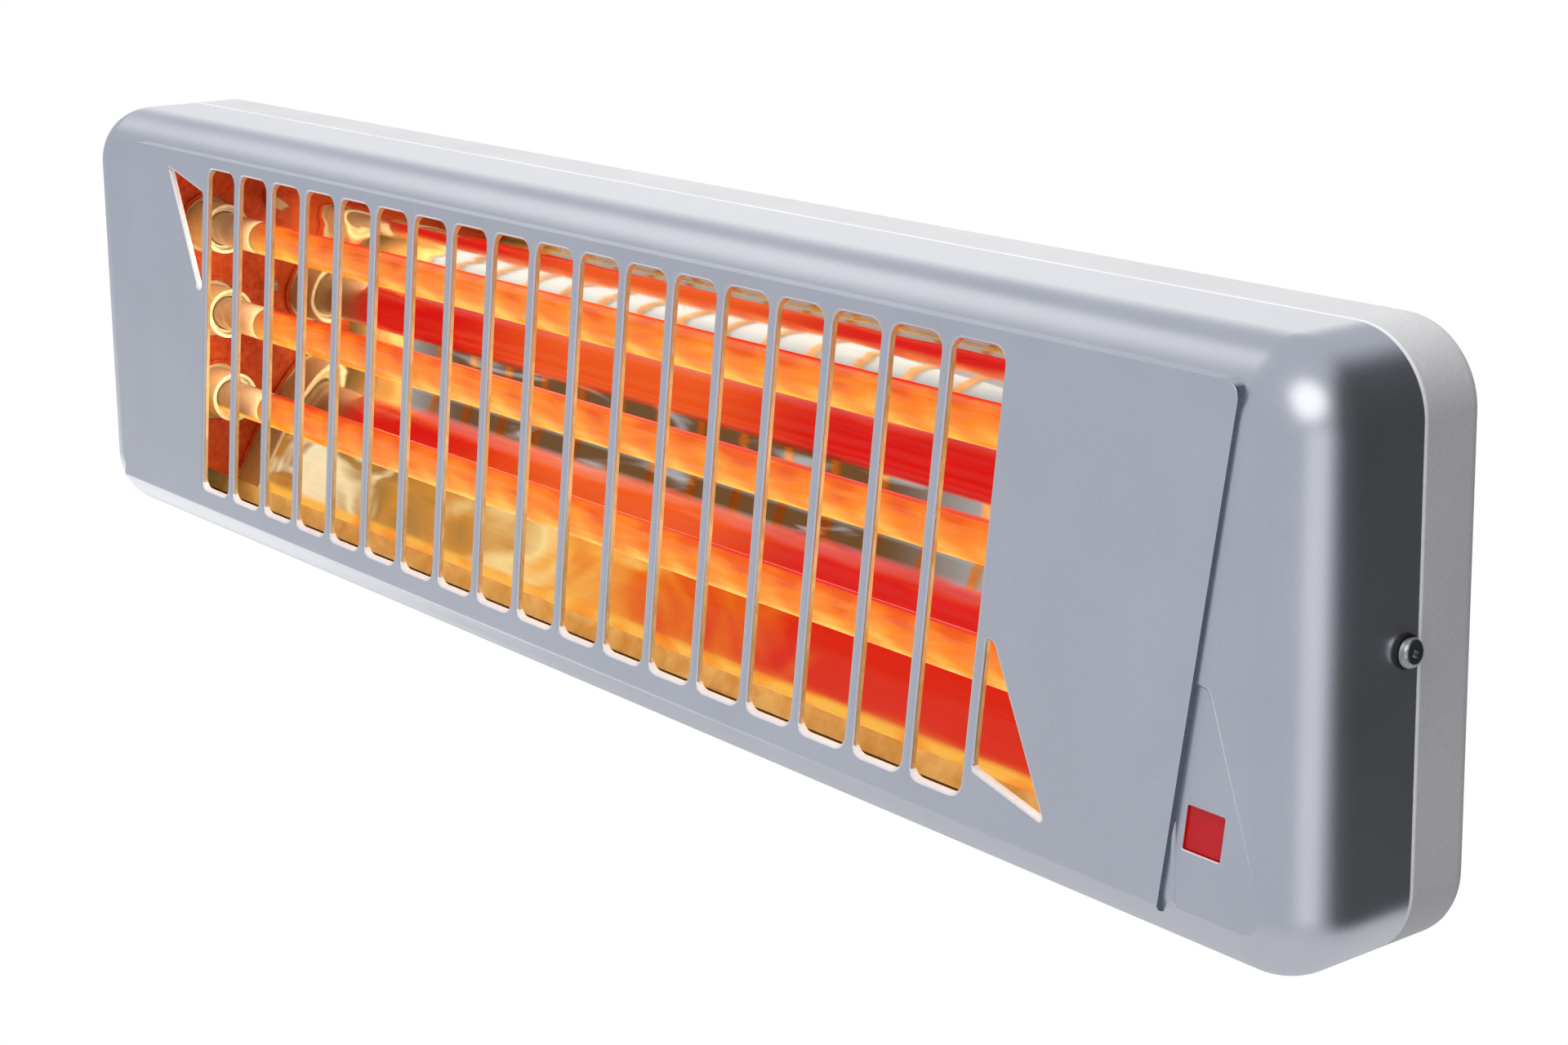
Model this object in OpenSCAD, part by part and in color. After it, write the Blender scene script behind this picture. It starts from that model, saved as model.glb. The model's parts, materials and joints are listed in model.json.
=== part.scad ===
// Electric bar heater: a wall heater with three glowing quartz tubes behind a slotted metal front.
// The casing hangs on a tilting bracket. The origin is the middle of the bracket's wall face.
// Inside the modules x runs to the right, y runs up and z is the distance out from the wall.

/* [Casing] */
// Width of the casing
casing_w = 620; // [500:1:800]
// Height of the casing
casing_h = 154; // [126:1:200]
// Depth of the casing, from its back to the face of the grille
casing_d = 60; // [50:1:80]
// Radius of the four corners, seen from the front
corner_r = 21; // [19:0.5:30]
// Radius where the front rolls into the sides
front_r = 18; // [8:0.5:18.5]
// Sheet thickness of the front cover
cover_t = 1; // [0.6:0.1:1.2]
// Height of the middle of the grille, tubes and end screws above the middle of the casing
axis_y = 3.5; // [0:0.5:6]

/* [Raised field of the front] */
// How far the field stands above the rest of the front
field_rise = 1.2; // [0.5:0.1:2]
// Field edge to the top or bottom of the casing, on an even casing
field_edge = 12.4; // [11:0.1:20]
// Field side to the casing side, at the height of the tubes
field_side = 32.4; // [30:0.1:50]
// Sideways lean of the field sides for each millimetre of height
field_lean = 0.18; // [0:0.01:0.25]
// Radius of the field corners
field_r = 7; // [3:0.5:12]
// Depth of the pressed wedge that holds the badge
wedge_depth = 0.5; // [0.2:0.1:0.8]
// Top of the wedge below the middle of the tubes
wedge_drop = 10; // [0:1:30]
// Width of the wedge at its top
wedge_w = 4; // [3:0.5:8]
// Sideways lean of the wedge's outer side for each millimetre of height
wedge_lean = 0.35; // [0.1:0.01:0.4]

/* [Grille] */
// Spacing of the slots
slot_pitch = 23.5; // [18:0.1:30]
// Width of a bar between two slots
bar_w = 3.6; // [3:0.1:6]
// Slot end to the top or bottom of the casing, on an even casing
slot_edge = 17; // [15:0.5:30]
// Sideways lean of the slots for each millimetre of height
slot_lean = 0.145; // [0:0.005:0.2]
// Radius of the slot corners
slot_r = 4; // [1:0.5:6]
// Depth of the lip that is turned in round each slot, from the face
lip_depth = 3.2; // [2:0.1:4]
// Thickness of the turned lip
lip_t = 0.8; // [0.5:0.1:1.2]
// Casing side to the nearest slot, left and right taken together
grille_margin = 187; // [180:1:220]
// Distance of the grille's middle to the left of the casing's middle
grille_shift = 6.5; // [0:0.5:10]

/* [Badge] */
// Width of the badge window
badge_w = 12; // [8:0.5:14]
// Height of the badge window
badge_h = 11.5; // [8:0.5:14]
// Middle of the badge window to the casing side
badge_side = 31.4; // [30:0.1:40]
// Middle of the badge window below the middle of the tubes
badge_drop = 45.6; // [30:0.1:50]
// Thickness of the badge plate
badge_t = 0.6; // [0.4:0.1:1]

/* [Rear housing] */
// Depth of the housing behind the seam
housing_d = 21.5; // [19:0.5:26]
// Sheet thickness of the housing
housing_t = 1.2; // [0.8:0.1:1.5]
// Open gap at the seam
seam_gap = 0.5; // [0.2:0.1:1]
// How far the inner flange of the housing reaches into the cover
flange_reach = 10; // [8:0.5:14]
// Clearance between the inner flange and the cover
flange_clear = 0.2; // [0.1:0.05:0.4]

/* [End screws] */
// Thread diameter of the end screws and of the other small screws
screw_d = 4; // [3:0.5:5]
// Head diameter of a small screw
screw_head_d = 7.5; // [6:0.1:9]
// Head height of a small screw
screw_head_h = 2.6; // [1.8:0.1:3.2]
// Middle of an end screw in front of the seam
screw_ahead = 4.5; // [4:0.1:6]
// Diameter of the washer under an end screw
washer_d = 8.6; // [8:0.1:10]
// Thickness of the washer under an end screw
washer_t = 0.8; // [0.5:0.1:1.2]

/* [Heating tubes] */
// Outer diameter of a quartz tube
tube_d = 12.5; // [10:0.5:14]
// Wall of a quartz tube
tube_wall = 1.2; // [0.8:0.1:1.6]
// Spacing of the three tubes
tube_pitch = 32; // [28:0.5:34]
// Depth of the tube axes behind the face of the grille
tube_depth = 23.3; // [18:0.1:26]
// Outer diameter of the heating coil
coil_d = 9.2; // [6:0.1:9.4]
// Wall of the heating coil's envelope
coil_wall = 1.4; // [1:0.1:2]
// Diameter of the ceramic cap inside the reflector
cap_d = 18.5; // [16:0.5:20]
// Diameter of the cap's collar behind the end plate
collar_d = 26; // [22:0.5:27]

/* [Reflector] */
// Thickness of the reflector sheet
mirror_t = 0.6; // [0.4:0.1:1]
// Height of the curved part of each side of the trough
mirror_curve = 50; // [30:1:60]
// Slope of the upper side at its long fold, in degrees
mirror_slope_up = 71; // [60:1:75]
// Slope of the lower side at its long fold, in degrees
mirror_slope_low = 66; // [55:1:70]
// How late the upper side turns up: 1 is an even bend, and more keeps it flat for longer
mirror_curl_up = 3; // [1:0.1:4]
// How late the lower side turns up
mirror_curl_low = 1.9; // [1:0.1:4]
// Long fold of the trough to the top or bottom of the casing, on an even casing
mirror_edge = 18.2; // [16:0.1:24]
// Depth of the long fold behind the face of the grille
mirror_fold = 14; // [12:0.5:18]
// Width of the flange beyond the long fold
mirror_flange = 7; // [5:0.5:8]
// Open space between the heat shield and the reflector
mirror_gap = 6.9; // [4:0.1:10]
// Open space between the housing and the heat shield
shield_gap = 6; // [5:0.5:8]
// Space for the wiring between an end plate and the casing side
end_space = 55; // [52:1:70]
// Thickness of the end plates
plate_t = 1; // [0.8:0.1:1.5]

/* [Wall bracket] */
// Distance from the wall to the back of the casing
stand_off = 46; // [44:1:60]
// Distance from the wall to the tilting axis
pivot_out = 25; // [20:1:30]
// Width of the wall bracket
bracket_w = 120; // [90:1:200]
// Height of the wall bracket
bracket_h = 60; // [44:1:90]
// Sheet thickness of the wall bracket
bracket_t = 2.5; // [2:0.1:4]
// Spacing of the wall screws, side to side
wall_screw_x = 80; // [50:1:160]
// Spacing of the wall screws, top to bottom
wall_screw_y = 36; // [24:1:70]
// Diameter of the holes for the wall screws
wall_hole_d = 6.5; // [5:0.1:8]
// Diameter of the pivot bolts
pivot_d = 6; // [5:0.5:8]
// Running clearance round a pivot bolt, on the radius
pivot_clear = 0.075; // [0.02:0.005:0.1]

/* [Cable inlet] */
// Thread diameter of the cable gland
gland_d = 12; // [10:0.5:13]
// Diameter of the cable that the gland holds
cable_d = 7; // [5:0.5:8]

/* [Hidden] */
$fn = 48;
tube_rows = [1, 0, -1];

// Planes, as distances out from the wall
floor_z = stand_off + housing_t;
front_z = stand_off + casing_d;
base_z = front_z - field_rise;
seam_z = stand_off + housing_d;
screw_z = seam_z + screw_ahead;
tube_z = front_z - tube_depth;
shield_t = 0.6;
shield_z = floor_z + shield_gap;
mirror_back_z = shield_z + shield_t + mirror_gap;
mirror_z = mirror_back_z + mirror_t;
fold_z = front_z - mirror_fold;

// Grille
slot_w = slot_pitch - bar_w;
slot_h = casing_h - 2 * slot_edge;
slot_count = floor((casing_w - grille_margin) / slot_pitch);
slot_middle = (slot_count - 1) / 2;
end_slot_edge = slot_middle * slot_pitch + slot_w / 2;
// Corners of the end cut-out on the right, from the middle of the grille
end_cut_top = -0.26 * slot_h / 2;
end_cut_low = -0.85 * slot_h / 2;
end_cut_foot = -0.96 * slot_h / 2;
end_cut_w = 26;
end_cut_top_w = 2.8;
end_cut_r = 1.2;

// Along the casing
half_w = casing_w / 2;
half_h = casing_h / 2;
plate_x = half_w - end_space;
cap_x = plate_x - 15;
collar_t = 4;
collar_x = plate_x + plate_t;
cap_tail_x = collar_x + collar_t + 8;
cap_tail_d = 16;
cap_bore_clear = 0.1;
tube_end = plate_x - 2;
coil_end = cap_x - 8;
rim_hole_d = cap_d + 3;
rim_d = rim_hole_d + 3;
stud_start = tube_end - 1;
nut_t = 3.2;
nut_flats = 7;
bus_t = 1.2;
bus_w = 10;
bus_x = cap_tail_x + nut_t;
stud_end = bus_x + bus_t + nut_t + 2.4;
clamp_t = 1;
clamp_x = collar_x + collar_t;
clamp_foot = 9;
bore_clear = 0.1;

// Reflector trough, from its middle line
mirror_half = half_h - mirror_edge;
mirror_rise = fold_z - mirror_z;
curve_steps = 16;
least_flat = 1;
plate_half = mirror_half + mirror_flange;
plate_top_z = fold_z + 6;
clamp_half = widest_at(tube_z) + 4 - clamp_foot / 2;
tab_w = 14;
tab_half = 12;
tab_rivet_y = 7;
wire_d = 2.6;
wire_y = -tube_pitch;
wire_z = floor_z + 3.3;

// Fixings on the floor of the housing
foot_w = 12;
foot_screw_x = plate_x + plate_t + foot_w / 2;
foot_screw_y = plate_half - 19;
shield_half_w = plate_x - tab_w - 6;
shield_half_h = plate_half - 8;
shield_foot = 8;
rivet_d = 3.2;
shield_rivet_x = shield_half_w - 30;

// Swivel bracket on the back of the casing
swivel_t = 2;
pivot_washer_t = 1.4;
face_clear = 0.1;
swivel_half = bracket_w / 2 - bracket_t - pivot_washer_t - 2 * face_clear;
swivel_h = 50;
swivel_ear_r = 9;
swivel_screw_x = 36;
swivel_screw_y = 16;
bracket_ear_r = 10;
pivot_nut_t = 5;
pivot_head_t = 4;
pivot_flats = 10;

// Cable gland, under the left end of the housing
gland_x = -(half_w - corner_r - 16);
gland_z = floor_z + 8.4;
gland_flats = 16;
gland_nut_t = 4;
gland_flange_t = 4.5;
gland_dome_t = 9;
gland_seal_l = 10;
wall_in_y = -half_h + housing_t;

// Terminal block and cut-out in the left wiring space
block_size = [17, 34, 14];
block_x = -(half_w - 17);
block_y = -40;
cutout_y = axis_y + 18;
cutout_z = floor_z + 10;
cutout_d = 15.8;
spade_x = plate_x + plate_t + 19;
spade_gap = 8;
earth_x = -(half_w - 18);
earth_y = 44;

// ---- Outlines and helpers ----

function unit(v) = v / norm(v);

// Unit vectors from corner i of an outline to its two neighbours
function to_last(p, i) = unit(p[(i + len(p) - 1) % len(p)] - p[i]);
function to_next(p, i) = unit(p[(i + 1) % len(p)] - p[i]);
function half_angle(p, i) = acos(to_last(p, i) * to_next(p, i)) / 2;

// A convex outline, anticlockwise, with its corners rounded to radius r and then grown
module rounded_shape(p, r, grow = 0) {
    corners = [0:len(p) - 1];
    for (i = corners)
        translate(p[i] + unit(to_last(p, i) + to_next(p, i)) * r / sin(half_angle(p, i))) circle(r + grow);
    polygon([for (i = corners)
        let (reach = r / tan(half_angle(p, i)), a = to_last(p, i), b = to_next(p, i))
            each [p[i] + a * reach + grow * [-a.y, a.x], p[i] + b * reach + grow * [b.y, -b.x]]]);
}

// Sideways unit normals and the two faces of a bent sheet that follows a path
function path_normal(p, i) =
    let (a = p[max(i - 1, 0)], b = p[min(i + 1, len(p) - 1)], d = unit(b - a)) [-d.y, d.x];
function sheet(p, t) = concat(p, [for (i = [len(p) - 1:-1:0]) p[i] + t * path_normal(p, i)]);

// How far a side of the trough rises in its first n steps, for each millimetre of its curved part
function curve_rise(slope, curl, n) = n == 0 ? 0
    : curve_rise(slope, curl, n - 1) + tan(slope * pow((n - 0.5) / curve_steps, curl)) / curve_steps;

// One side of the trough: its flat, its curve, the straight up to the long fold, and the flange.
// The curve is limited by the depth and by the height that it has to fit into.
function trough_side(slope, curl) =
    let (rise = curve_rise(slope, curl, curve_steps),
         straight_room = mirror_half - least_flat - mirror_rise / tan(slope),
         curve = min(mirror_curve, 0.9 * mirror_rise / rise, straight_room / (1 - rise / tan(slope))),
         flat = mirror_half - curve - (mirror_rise - curve * rise) / tan(slope))
    concat(
        [for (i = [0:curve_steps])
            [flat + curve * i / curve_steps, mirror_z + curve * curve_rise(slope, curl, i)]],
        [[mirror_half, fold_z], [plate_half, fold_z]]);
function upper_side() = trough_side(mirror_slope_up, mirror_curl_up);
function lower_side() = trough_side(mirror_slope_low, mirror_curl_low);

// Half height of the wider side of the trough at a distance out from the wall
function side_at(side, z) = lookup(z, [for (i = [0:curve_steps + 1]) [side[i].y, side[i].x]]);
function widest_at(z) = max(side_at(upper_side(), z), side_at(lower_side(), z));
function mirrored(p) = [for (i = [len(p) - 1:-1:0]) [-p[i].x, p[i].y]];

module place() {
    rotate([90, 0, 0]) children();
}

// Turns a drawing of height and depth into a solid along x
module along_x(x0, x1) {
    translate([x0, 0, 0]) rotate([90, 0, 90]) linear_extrude(x1 - x0) children();
}

module rod_x(d, x0, x1) {
    translate([min(x0, x1), 0, 0]) rotate([0, 90, 0]) cylinder(d = d, h = abs(x1 - x0));
}

module hex_x(flats, x0, x1) {
    translate([x0, 0, 0]) rotate([0, 90, 0]) cylinder(d = flats / cos(30), h = x1 - x0, $fn = 6);
}

module each_side() {
    for (s = [0, 1]) mirror([s, 0, 0]) children();
}

module at_tube(row) {
    translate([0, axis_y + row * tube_pitch, tube_z]) children();
}

module rounded_rect(w, h, r) {
    for (sx = [-1, 1], sy = [-1, 1])
        translate([sx * (w / 2 - r), sy * (h / 2 - r)]) circle(r);
    square([w - 2 * r, h], center = true);
    square([w, h - 2 * r], center = true);
}

// Pan head screw along z: the head stands above z = 0 and the shank goes down
module pan_screw(length, d = screw_d, head_d = screw_head_d, head_h = screw_head_h) {
    shoulder = head_h * 0.42;
    recess_w = 0.9;
    difference() {
        union() {
            translate([0, 0, -length]) cylinder(d = d - 0.1, h = length + 0.1);
            rotate_extrude() {
                square([head_d / 2, head_h - shoulder]);
                square([head_d / 2 - shoulder, head_h]);
                translate([head_d / 2 - shoulder, head_h - shoulder]) circle(shoulder);
            }
        }
        for (a = [0, 90]) rotate(a)
            translate([-head_d * 0.28, -recess_w / 2, head_h - 1.5]) cube([head_d * 0.56, recess_w, 2]);
        translate([0, 0, head_h - 1.2]) cylinder(d = head_d * 0.26, h = 2);
    }
}

module hex_nut(flats = nut_flats, t = nut_t, bore = screw_d) {
    difference() {
        cylinder(d = flats / cos(30), h = t, $fn = 6);
        translate([0, 0, -1]) cylinder(d = bore, h = t + 2);
    }
}

// A tube along rounded wire points, with eight sides
function wire_ring(p, i, r) =
    let (d = unit(p[min(i + 1, len(p) - 1)] - p[max(i - 1, 0)]),
         side = abs(d.z) < 0.9 ? unit(cross(d, [0, 0, 1])) : unit(cross(d, [0, 1, 0])),
         up = cross(side, d))
        [for (k = [0:7]) p[i] + r * (cos(45 * k) * side + sin(45 * k) * up)];
function smooth_path(p, reach = 5, n = 4) = concat([p[0]],
    [for (i = [1:len(p) - 2])
        let (a = p[i] + unit(p[i - 1] - p[i]) * min(reach, norm(p[i - 1] - p[i]) / 2.2),
             b = p[i] + unit(p[i + 1] - p[i]) * min(reach, norm(p[i + 1] - p[i]) / 2.2))
            for (k = [0:n]) let (t = k / n)
                (1 - t) * (1 - t) * a + 2 * t * (1 - t) * p[i] + t * t * b],
    [p[len(p) - 1]]);
module wire(route) {
    path = smooth_path(route);
    last = len(path) - 1;
    points = [for (i = [0:last]) each wire_ring(path, i, wire_d / 2)];
    sides = [for (i = [0:last - 1], k = [0:7]) each [
        [8 * i + k, 8 * i + (k + 1) % 8, 8 * i + 8 + (k + 1) % 8],
        [8 * i + k, 8 * i + 8 + (k + 1) % 8, 8 * i + 8 + k]]];
    ends = concat([for (k = [1:6]) [0, k + 1, k]],
        [for (k = [1:6]) [8 * last, 8 * last + k, 8 * last + k + 1]]);
    polyhedron(points, concat(sides, ends));
}

// ---- Front cover ----

// The corners of a shape that leans sideways by lean for each millimetre of height
function leaning(w, h, lean) =
    [for (c = [[-1, -1], [1, -1], [1, 1], [-1, 1]]) [c.x * w / 2 + c.y * lean * h / 2, c.y * h / 2]];

// The end cut-out on the right; the left one is the same, turned half round
function end_cut_corners() =
    let (x = end_slot_edge + bar_w)
        [[x + slot_lean * end_cut_low, end_cut_low],
         [x + slot_lean * end_cut_low + end_cut_w, end_cut_foot],
         [x + slot_lean * end_cut_top + end_cut_top_w, end_cut_top],
         [x + slot_lean * end_cut_top, end_cut_top]];

module grille_cuts(grow = 0) {
    translate([-grille_shift, axis_y]) {
        for (i = [0:slot_count - 1]) translate([(i - slot_middle) * slot_pitch, 0])
            rounded_shape(leaning(slot_w, slot_h, slot_lean), slot_r, grow);
        for (a = [0, 180]) rotate(a) rounded_shape(end_cut_corners(), end_cut_r, grow);
    }
}

// The raised field between its two leaning sides
module field(grow = 0) {
    translate([0, axis_y])
        rounded_shape(leaning(2 * (half_w - field_side), 2 * (half_h - field_edge), field_lean), field_r, grow);
}

// The pressed wedge beside the field, open to the rolled bottom edge
module wedge(grow = 0) {
    top = -wedge_drop;
    low = -half_h + front_r * 0.4 - axis_y;
    x = half_w - field_side + field_lean * top;
    translate([0, axis_y]) rounded_shape([
        [x - 6, low],
        [x + wedge_w + wedge_lean * (top - low), low],
        [x + wedge_w, top],
        [x - 6, top]], 1.5, grow);
}

module badge_window(grow = 0) {
    translate([half_w - badge_side, axis_y - badge_drop])
        polygon(leaning(badge_w + 2 * grow, badge_h + 2 * grow, slot_lean));
}

// Half section of a block whose top edge is rolled to radius r
module rolled_profile(w, d, r) {
    square([w - r, d]);
    square([w, d - r]);
    intersection() {
        translate([w - r, d - r]) circle(r);
        square([w, d]);
    }
}
// A block with rounded corners and a rolled front edge, from z0 up to z1
module rolled_block(w, h, z0, z1, rc, rf) {
    translate([0, 0, z0]) {
        for (s = [-1, 1]) {
            translate([-(w / 2 - rc), 0, 0]) rotate([90, 0, 90]) linear_extrude(w - 2 * rc)
                mirror([s > 0 ? 0 : 1, 0]) rolled_profile(h / 2, z1 - z0, rf);
            translate([0, h / 2 - rc, 0]) rotate([90, 0, 0]) linear_extrude(h - 2 * rc)
                mirror([s > 0 ? 0 : 1, 0]) rolled_profile(w / 2, z1 - z0, rf);
            for (t = [-1, 1]) translate([s * (w / 2 - rc), t * (h / 2 - rc), 0])
                rotate_extrude() rolled_profile(rc, z1 - z0, rf);
        }
    }
}

// The drawn shape of the front, thinned all round by inset
module drawn_front(inset) {
    rolled_block(casing_w - 2 * inset, casing_h - 2 * inset, seam_z - inset, base_z - inset,
        corner_r - inset, front_r - inset);
    translate([0, 0, base_z - front_r / 2]) linear_extrude(front_r / 2 + field_rise - inset) field(-inset);
}

module front_cover() {
    place() color("lightsteelblue") difference() {
        drawn_front(0);
        difference() {
            drawn_front(cover_t);
            translate([0, 0, base_z - wedge_depth - cover_t]) linear_extrude(wedge_depth + 2) difference() {
                wedge(cover_t);
                field(-cover_t);
            }
            translate([0, 0, front_z - lip_depth]) linear_extrude(lip_depth) grille_cuts(lip_t);
        }
        translate([0, 0, base_z - wedge_depth]) linear_extrude(wedge_depth + 2) difference() {
            wedge();
            field();
        }
        translate([0, 0, front_z - front_r]) linear_extrude(front_r + 1) grille_cuts();
        translate([0, 0, base_z - front_r / 2]) linear_extrude(front_r) badge_window();
        each_side() translate([0, axis_y, screw_z]) rod_x(screw_d + 0.5, half_w - 3, half_w + 1);
    }
}

module badge_plate() {
    place() color("crimson")
        translate([0, 0, base_z - wedge_depth - cover_t - badge_t]) linear_extrude(badge_t)
            badge_window(1.5);
}

// ---- Rear housing and the end screws ----

module outline_ring(inset, t) {
    difference() {
        rounded_rect(casing_w - 2 * inset, casing_h - 2 * inset, corner_r - inset);
        rounded_rect(casing_w - 2 * (inset + t), casing_h - 2 * (inset + t), corner_r - inset - t);
    }
}

module rear_housing() {
    flange_in = cover_t + flange_clear;
    place() color("gainsboro") difference() {
        union() {
            translate([0, 0, stand_off]) linear_extrude(housing_t)
                rounded_rect(casing_w, casing_h, corner_r);
            translate([0, 0, stand_off]) linear_extrude(housing_d - seam_gap) outline_ring(0, housing_t);
            translate([0, 0, seam_z - seam_gap - 2.5]) linear_extrude(flange_reach + seam_gap + 2.5)
                outline_ring(flange_in, housing_t);
        }
        each_side() translate([0, axis_y, screw_z]) rod_x(screw_d + 0.2, half_w - 5, half_w + 1);
        for (sx = [-1, 1], sy = [-1, 1]) {
            translate([sx * foot_screw_x, axis_y + sy * foot_screw_y, stand_off - 1])
                cylinder(d = screw_d + 0.3, h = 5);
            translate([sx * shield_rivet_x, axis_y + sy * (shield_half_h + shield_foot / 2), stand_off - 1])
                cylinder(d = rivet_d + 0.1, h = 5);
            translate([sx * swivel_screw_x, sy * swivel_screw_y, stand_off - 1])
                cylinder(d = screw_d + 0.3, h = 5);
        }
        translate([gland_x, wall_in_y + 2, gland_z]) rotate([90, 0, 0])
            cylinder(d = gland_d + 0.2, h = housing_t + 4);
    }
}

module end_screws() {
    place() color("silver") each_side()
        translate([half_w + washer_t, axis_y, screw_z]) rotate([0, 90, 0]) pan_screw(8);
}

module end_screw_washers() {
    place() color("dimgray") each_side() difference() {
        translate([0, axis_y, screw_z]) rod_x(washer_d, half_w, half_w + washer_t);
        translate([0, axis_y, screw_z]) rod_x(screw_d + 0.2, half_w - 1, half_w + washer_t + 1);
    }
}

module end_screw_nuts() {
    inner = half_w - cover_t - flange_clear - housing_t;
    place() color("silver") each_side()
        translate([inner - nut_t, axis_y, screw_z]) rotate([0, 90, 0]) hex_nut();
}

// ---- Reflector ----

module reflector() {
    path = concat(mirrored(lower_side()), upper_side());
    place() color("gold") difference() {
        translate([0, axis_y, 0]) along_x(-plate_x, plate_x) polygon(sheet(path, -mirror_t));
        each_side() for (s = [-1, 1])
            translate([plate_x - tab_w / 2, axis_y + s * tab_rivet_y, mirror_back_z - 1])
                cylinder(d = rivet_d + 0.1, h = mirror_t + 2);
    }
}

// An end plate with rimmed holes for the caps, a foot on the floor and a tab under the trough
module end_plate() {
    difference() {
        union() {
            translate([0, axis_y, 0]) along_x(plate_x, plate_x + plate_t)
                polygon([[-plate_half, floor_z], [plate_half, floor_z],
                    [plate_half, fold_z], [mirror_half - 1, plate_top_z],
                    [-mirror_half + 1, plate_top_z], [-plate_half, fold_z]]);
            translate([plate_x, axis_y - foot_screw_y - 9, floor_z])
                cube([plate_t + foot_w, 2 * foot_screw_y + 18, plate_t]);
            translate([plate_x - tab_w, axis_y - tab_half, mirror_back_z - plate_t])
                cube([tab_w + plate_t, 2 * tab_half, plate_t]);
            for (row = tube_rows) at_tube(row) rod_x(rim_d, plate_x - 1, plate_x + plate_t);
        }
        for (row = tube_rows) at_tube(row) rod_x(rim_hole_d, plate_x - 3, plate_x + 3);
        for (s = [-1, 1]) {
            translate([foot_screw_x, axis_y + s * foot_screw_y, floor_z - 1]) cylinder(d = screw_d + 0.3, h = 5);
            translate([plate_x - tab_w / 2, axis_y + s * tab_rivet_y, mirror_back_z - 3])
                cylinder(d = rivet_d + 0.1, h = 6);
            translate([0, axis_y + s * (clamp_half + clamp_foot / 2), tube_z])
                rod_x(screw_d - 0.6, plate_x - 3, plate_x + 3);
            translate([0, cutout_y + s * 9.5, cutout_z]) rod_x(2.6, plate_x - 3, plate_x + 3);
        }
        translate([0, wire_y, wire_z]) rod_x(wire_d + 2.4, plate_x - 3, plate_x + 3);
    }
}

module left_end_plate() {
    place() color("orangered") mirror([1, 0, 0]) end_plate();
}

module right_end_plate() {
    place() color("orangered") end_plate();
}

module reflector_rivets() {
    place() color("silver") each_side() for (s = [-1, 1])
        translate([plate_x - tab_w / 2, axis_y + s * tab_rivet_y, 0]) {
            translate([0, 0, mirror_back_z - plate_t - 1]) cylinder(d = rivet_d, h = mirror_t + plate_t + 2);
            translate([0, 0, mirror_z]) cylinder(d = 2 * rivet_d, h = 1);
            translate([0, 0, mirror_back_z - plate_t - 1.2]) cylinder(d = 1.6 * rivet_d, h = 1.2);
        }
}

module end_plate_screws() {
    place() color("silver") for (sx = [-1, 1], sy = [-1, 1])
        translate([sx * foot_screw_x, axis_y + sy * foot_screw_y, stand_off]) {
            rotate([180, 0, 0]) pan_screw(7);
            translate([0, 0, housing_t + plate_t]) hex_nut();
        }
}

module heat_shield() {
    place() color("lightgray") difference() {
        translate([0, axis_y, 0]) along_x(-shield_half_w, shield_half_w) {
            translate([-shield_half_h, shield_z]) square([2 * shield_half_h, shield_t]);
            for (s = [0, 1]) mirror([s, 0]) {
                translate([shield_half_h - shield_t, floor_z]) square([shield_t, shield_gap + shield_t]);
                translate([shield_half_h - shield_t, floor_z]) square([shield_foot + shield_t, shield_t]);
            }
        }
        for (sx = [-1, 1], sy = [-1, 1])
            translate([sx * shield_rivet_x, axis_y + sy * (shield_half_h + shield_foot / 2), floor_z - 1])
                cylinder(d = rivet_d + 0.1, h = 4);
    }
}

module heat_shield_rivets() {
    place() color("silver") for (sx = [-1, 1], sy = [-1, 1])
        translate([sx * shield_rivet_x, axis_y + sy * (shield_half_h + shield_foot / 2), 0]) {
            translate([0, 0, stand_off - 0.5]) cylinder(d = rivet_d, h = housing_t + shield_t + 1);
            translate([0, 0, stand_off - 1.2]) cylinder(d = 2 * rivet_d, h = 1.2);
            translate([0, 0, floor_z + shield_t]) cylinder(d = 1.5 * rivet_d, h = 1);
        }
}

// ---- Heating tubes ----

module quartz_tube(row) {
    place() color("orange") at_tube(row) difference() {
        rod_x(tube_d, -tube_end, tube_end);
        rod_x(tube_d - 2 * tube_wall, -tube_end - 1, tube_end + 1);
    }
}

// The winding as the sleeve that it fills, with a straight lead at each end
module heating_coil(row) {
    lead_d = 2;
    place() color("orangered") at_tube(row) {
        difference() {
            rod_x(coil_d, -coil_end, coil_end);
            rod_x(coil_d - 2 * coil_wall, -coil_end + 2, coil_end - 2);
        }
        each_side() rod_x(lead_d, coil_end - 1, stud_start);
    }
}

module ceramic_cap(row) {
    at_tube(row) difference() {
        union() {
            rod_x(cap_d, cap_x, collar_x + 1);
            rod_x(collar_d, collar_x, collar_x + collar_t);
            rod_x(cap_tail_d, collar_x + 1, cap_tail_x);
        }
        rod_x(cap_d - 3, cap_x - 1, cap_x + 2.5);
        rod_x(tube_d + 2 * cap_bore_clear, cap_x - 1, tube_end);
        rod_x(screw_d + 2 * bore_clear, cap_x, cap_tail_x + 1);
    }
}

module left_cap(row) {
    place() color("ivory") mirror([1, 0, 0]) ceramic_cap(row);
}

module right_cap(row) {
    place() color("ivory") ceramic_cap(row);
}

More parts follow.
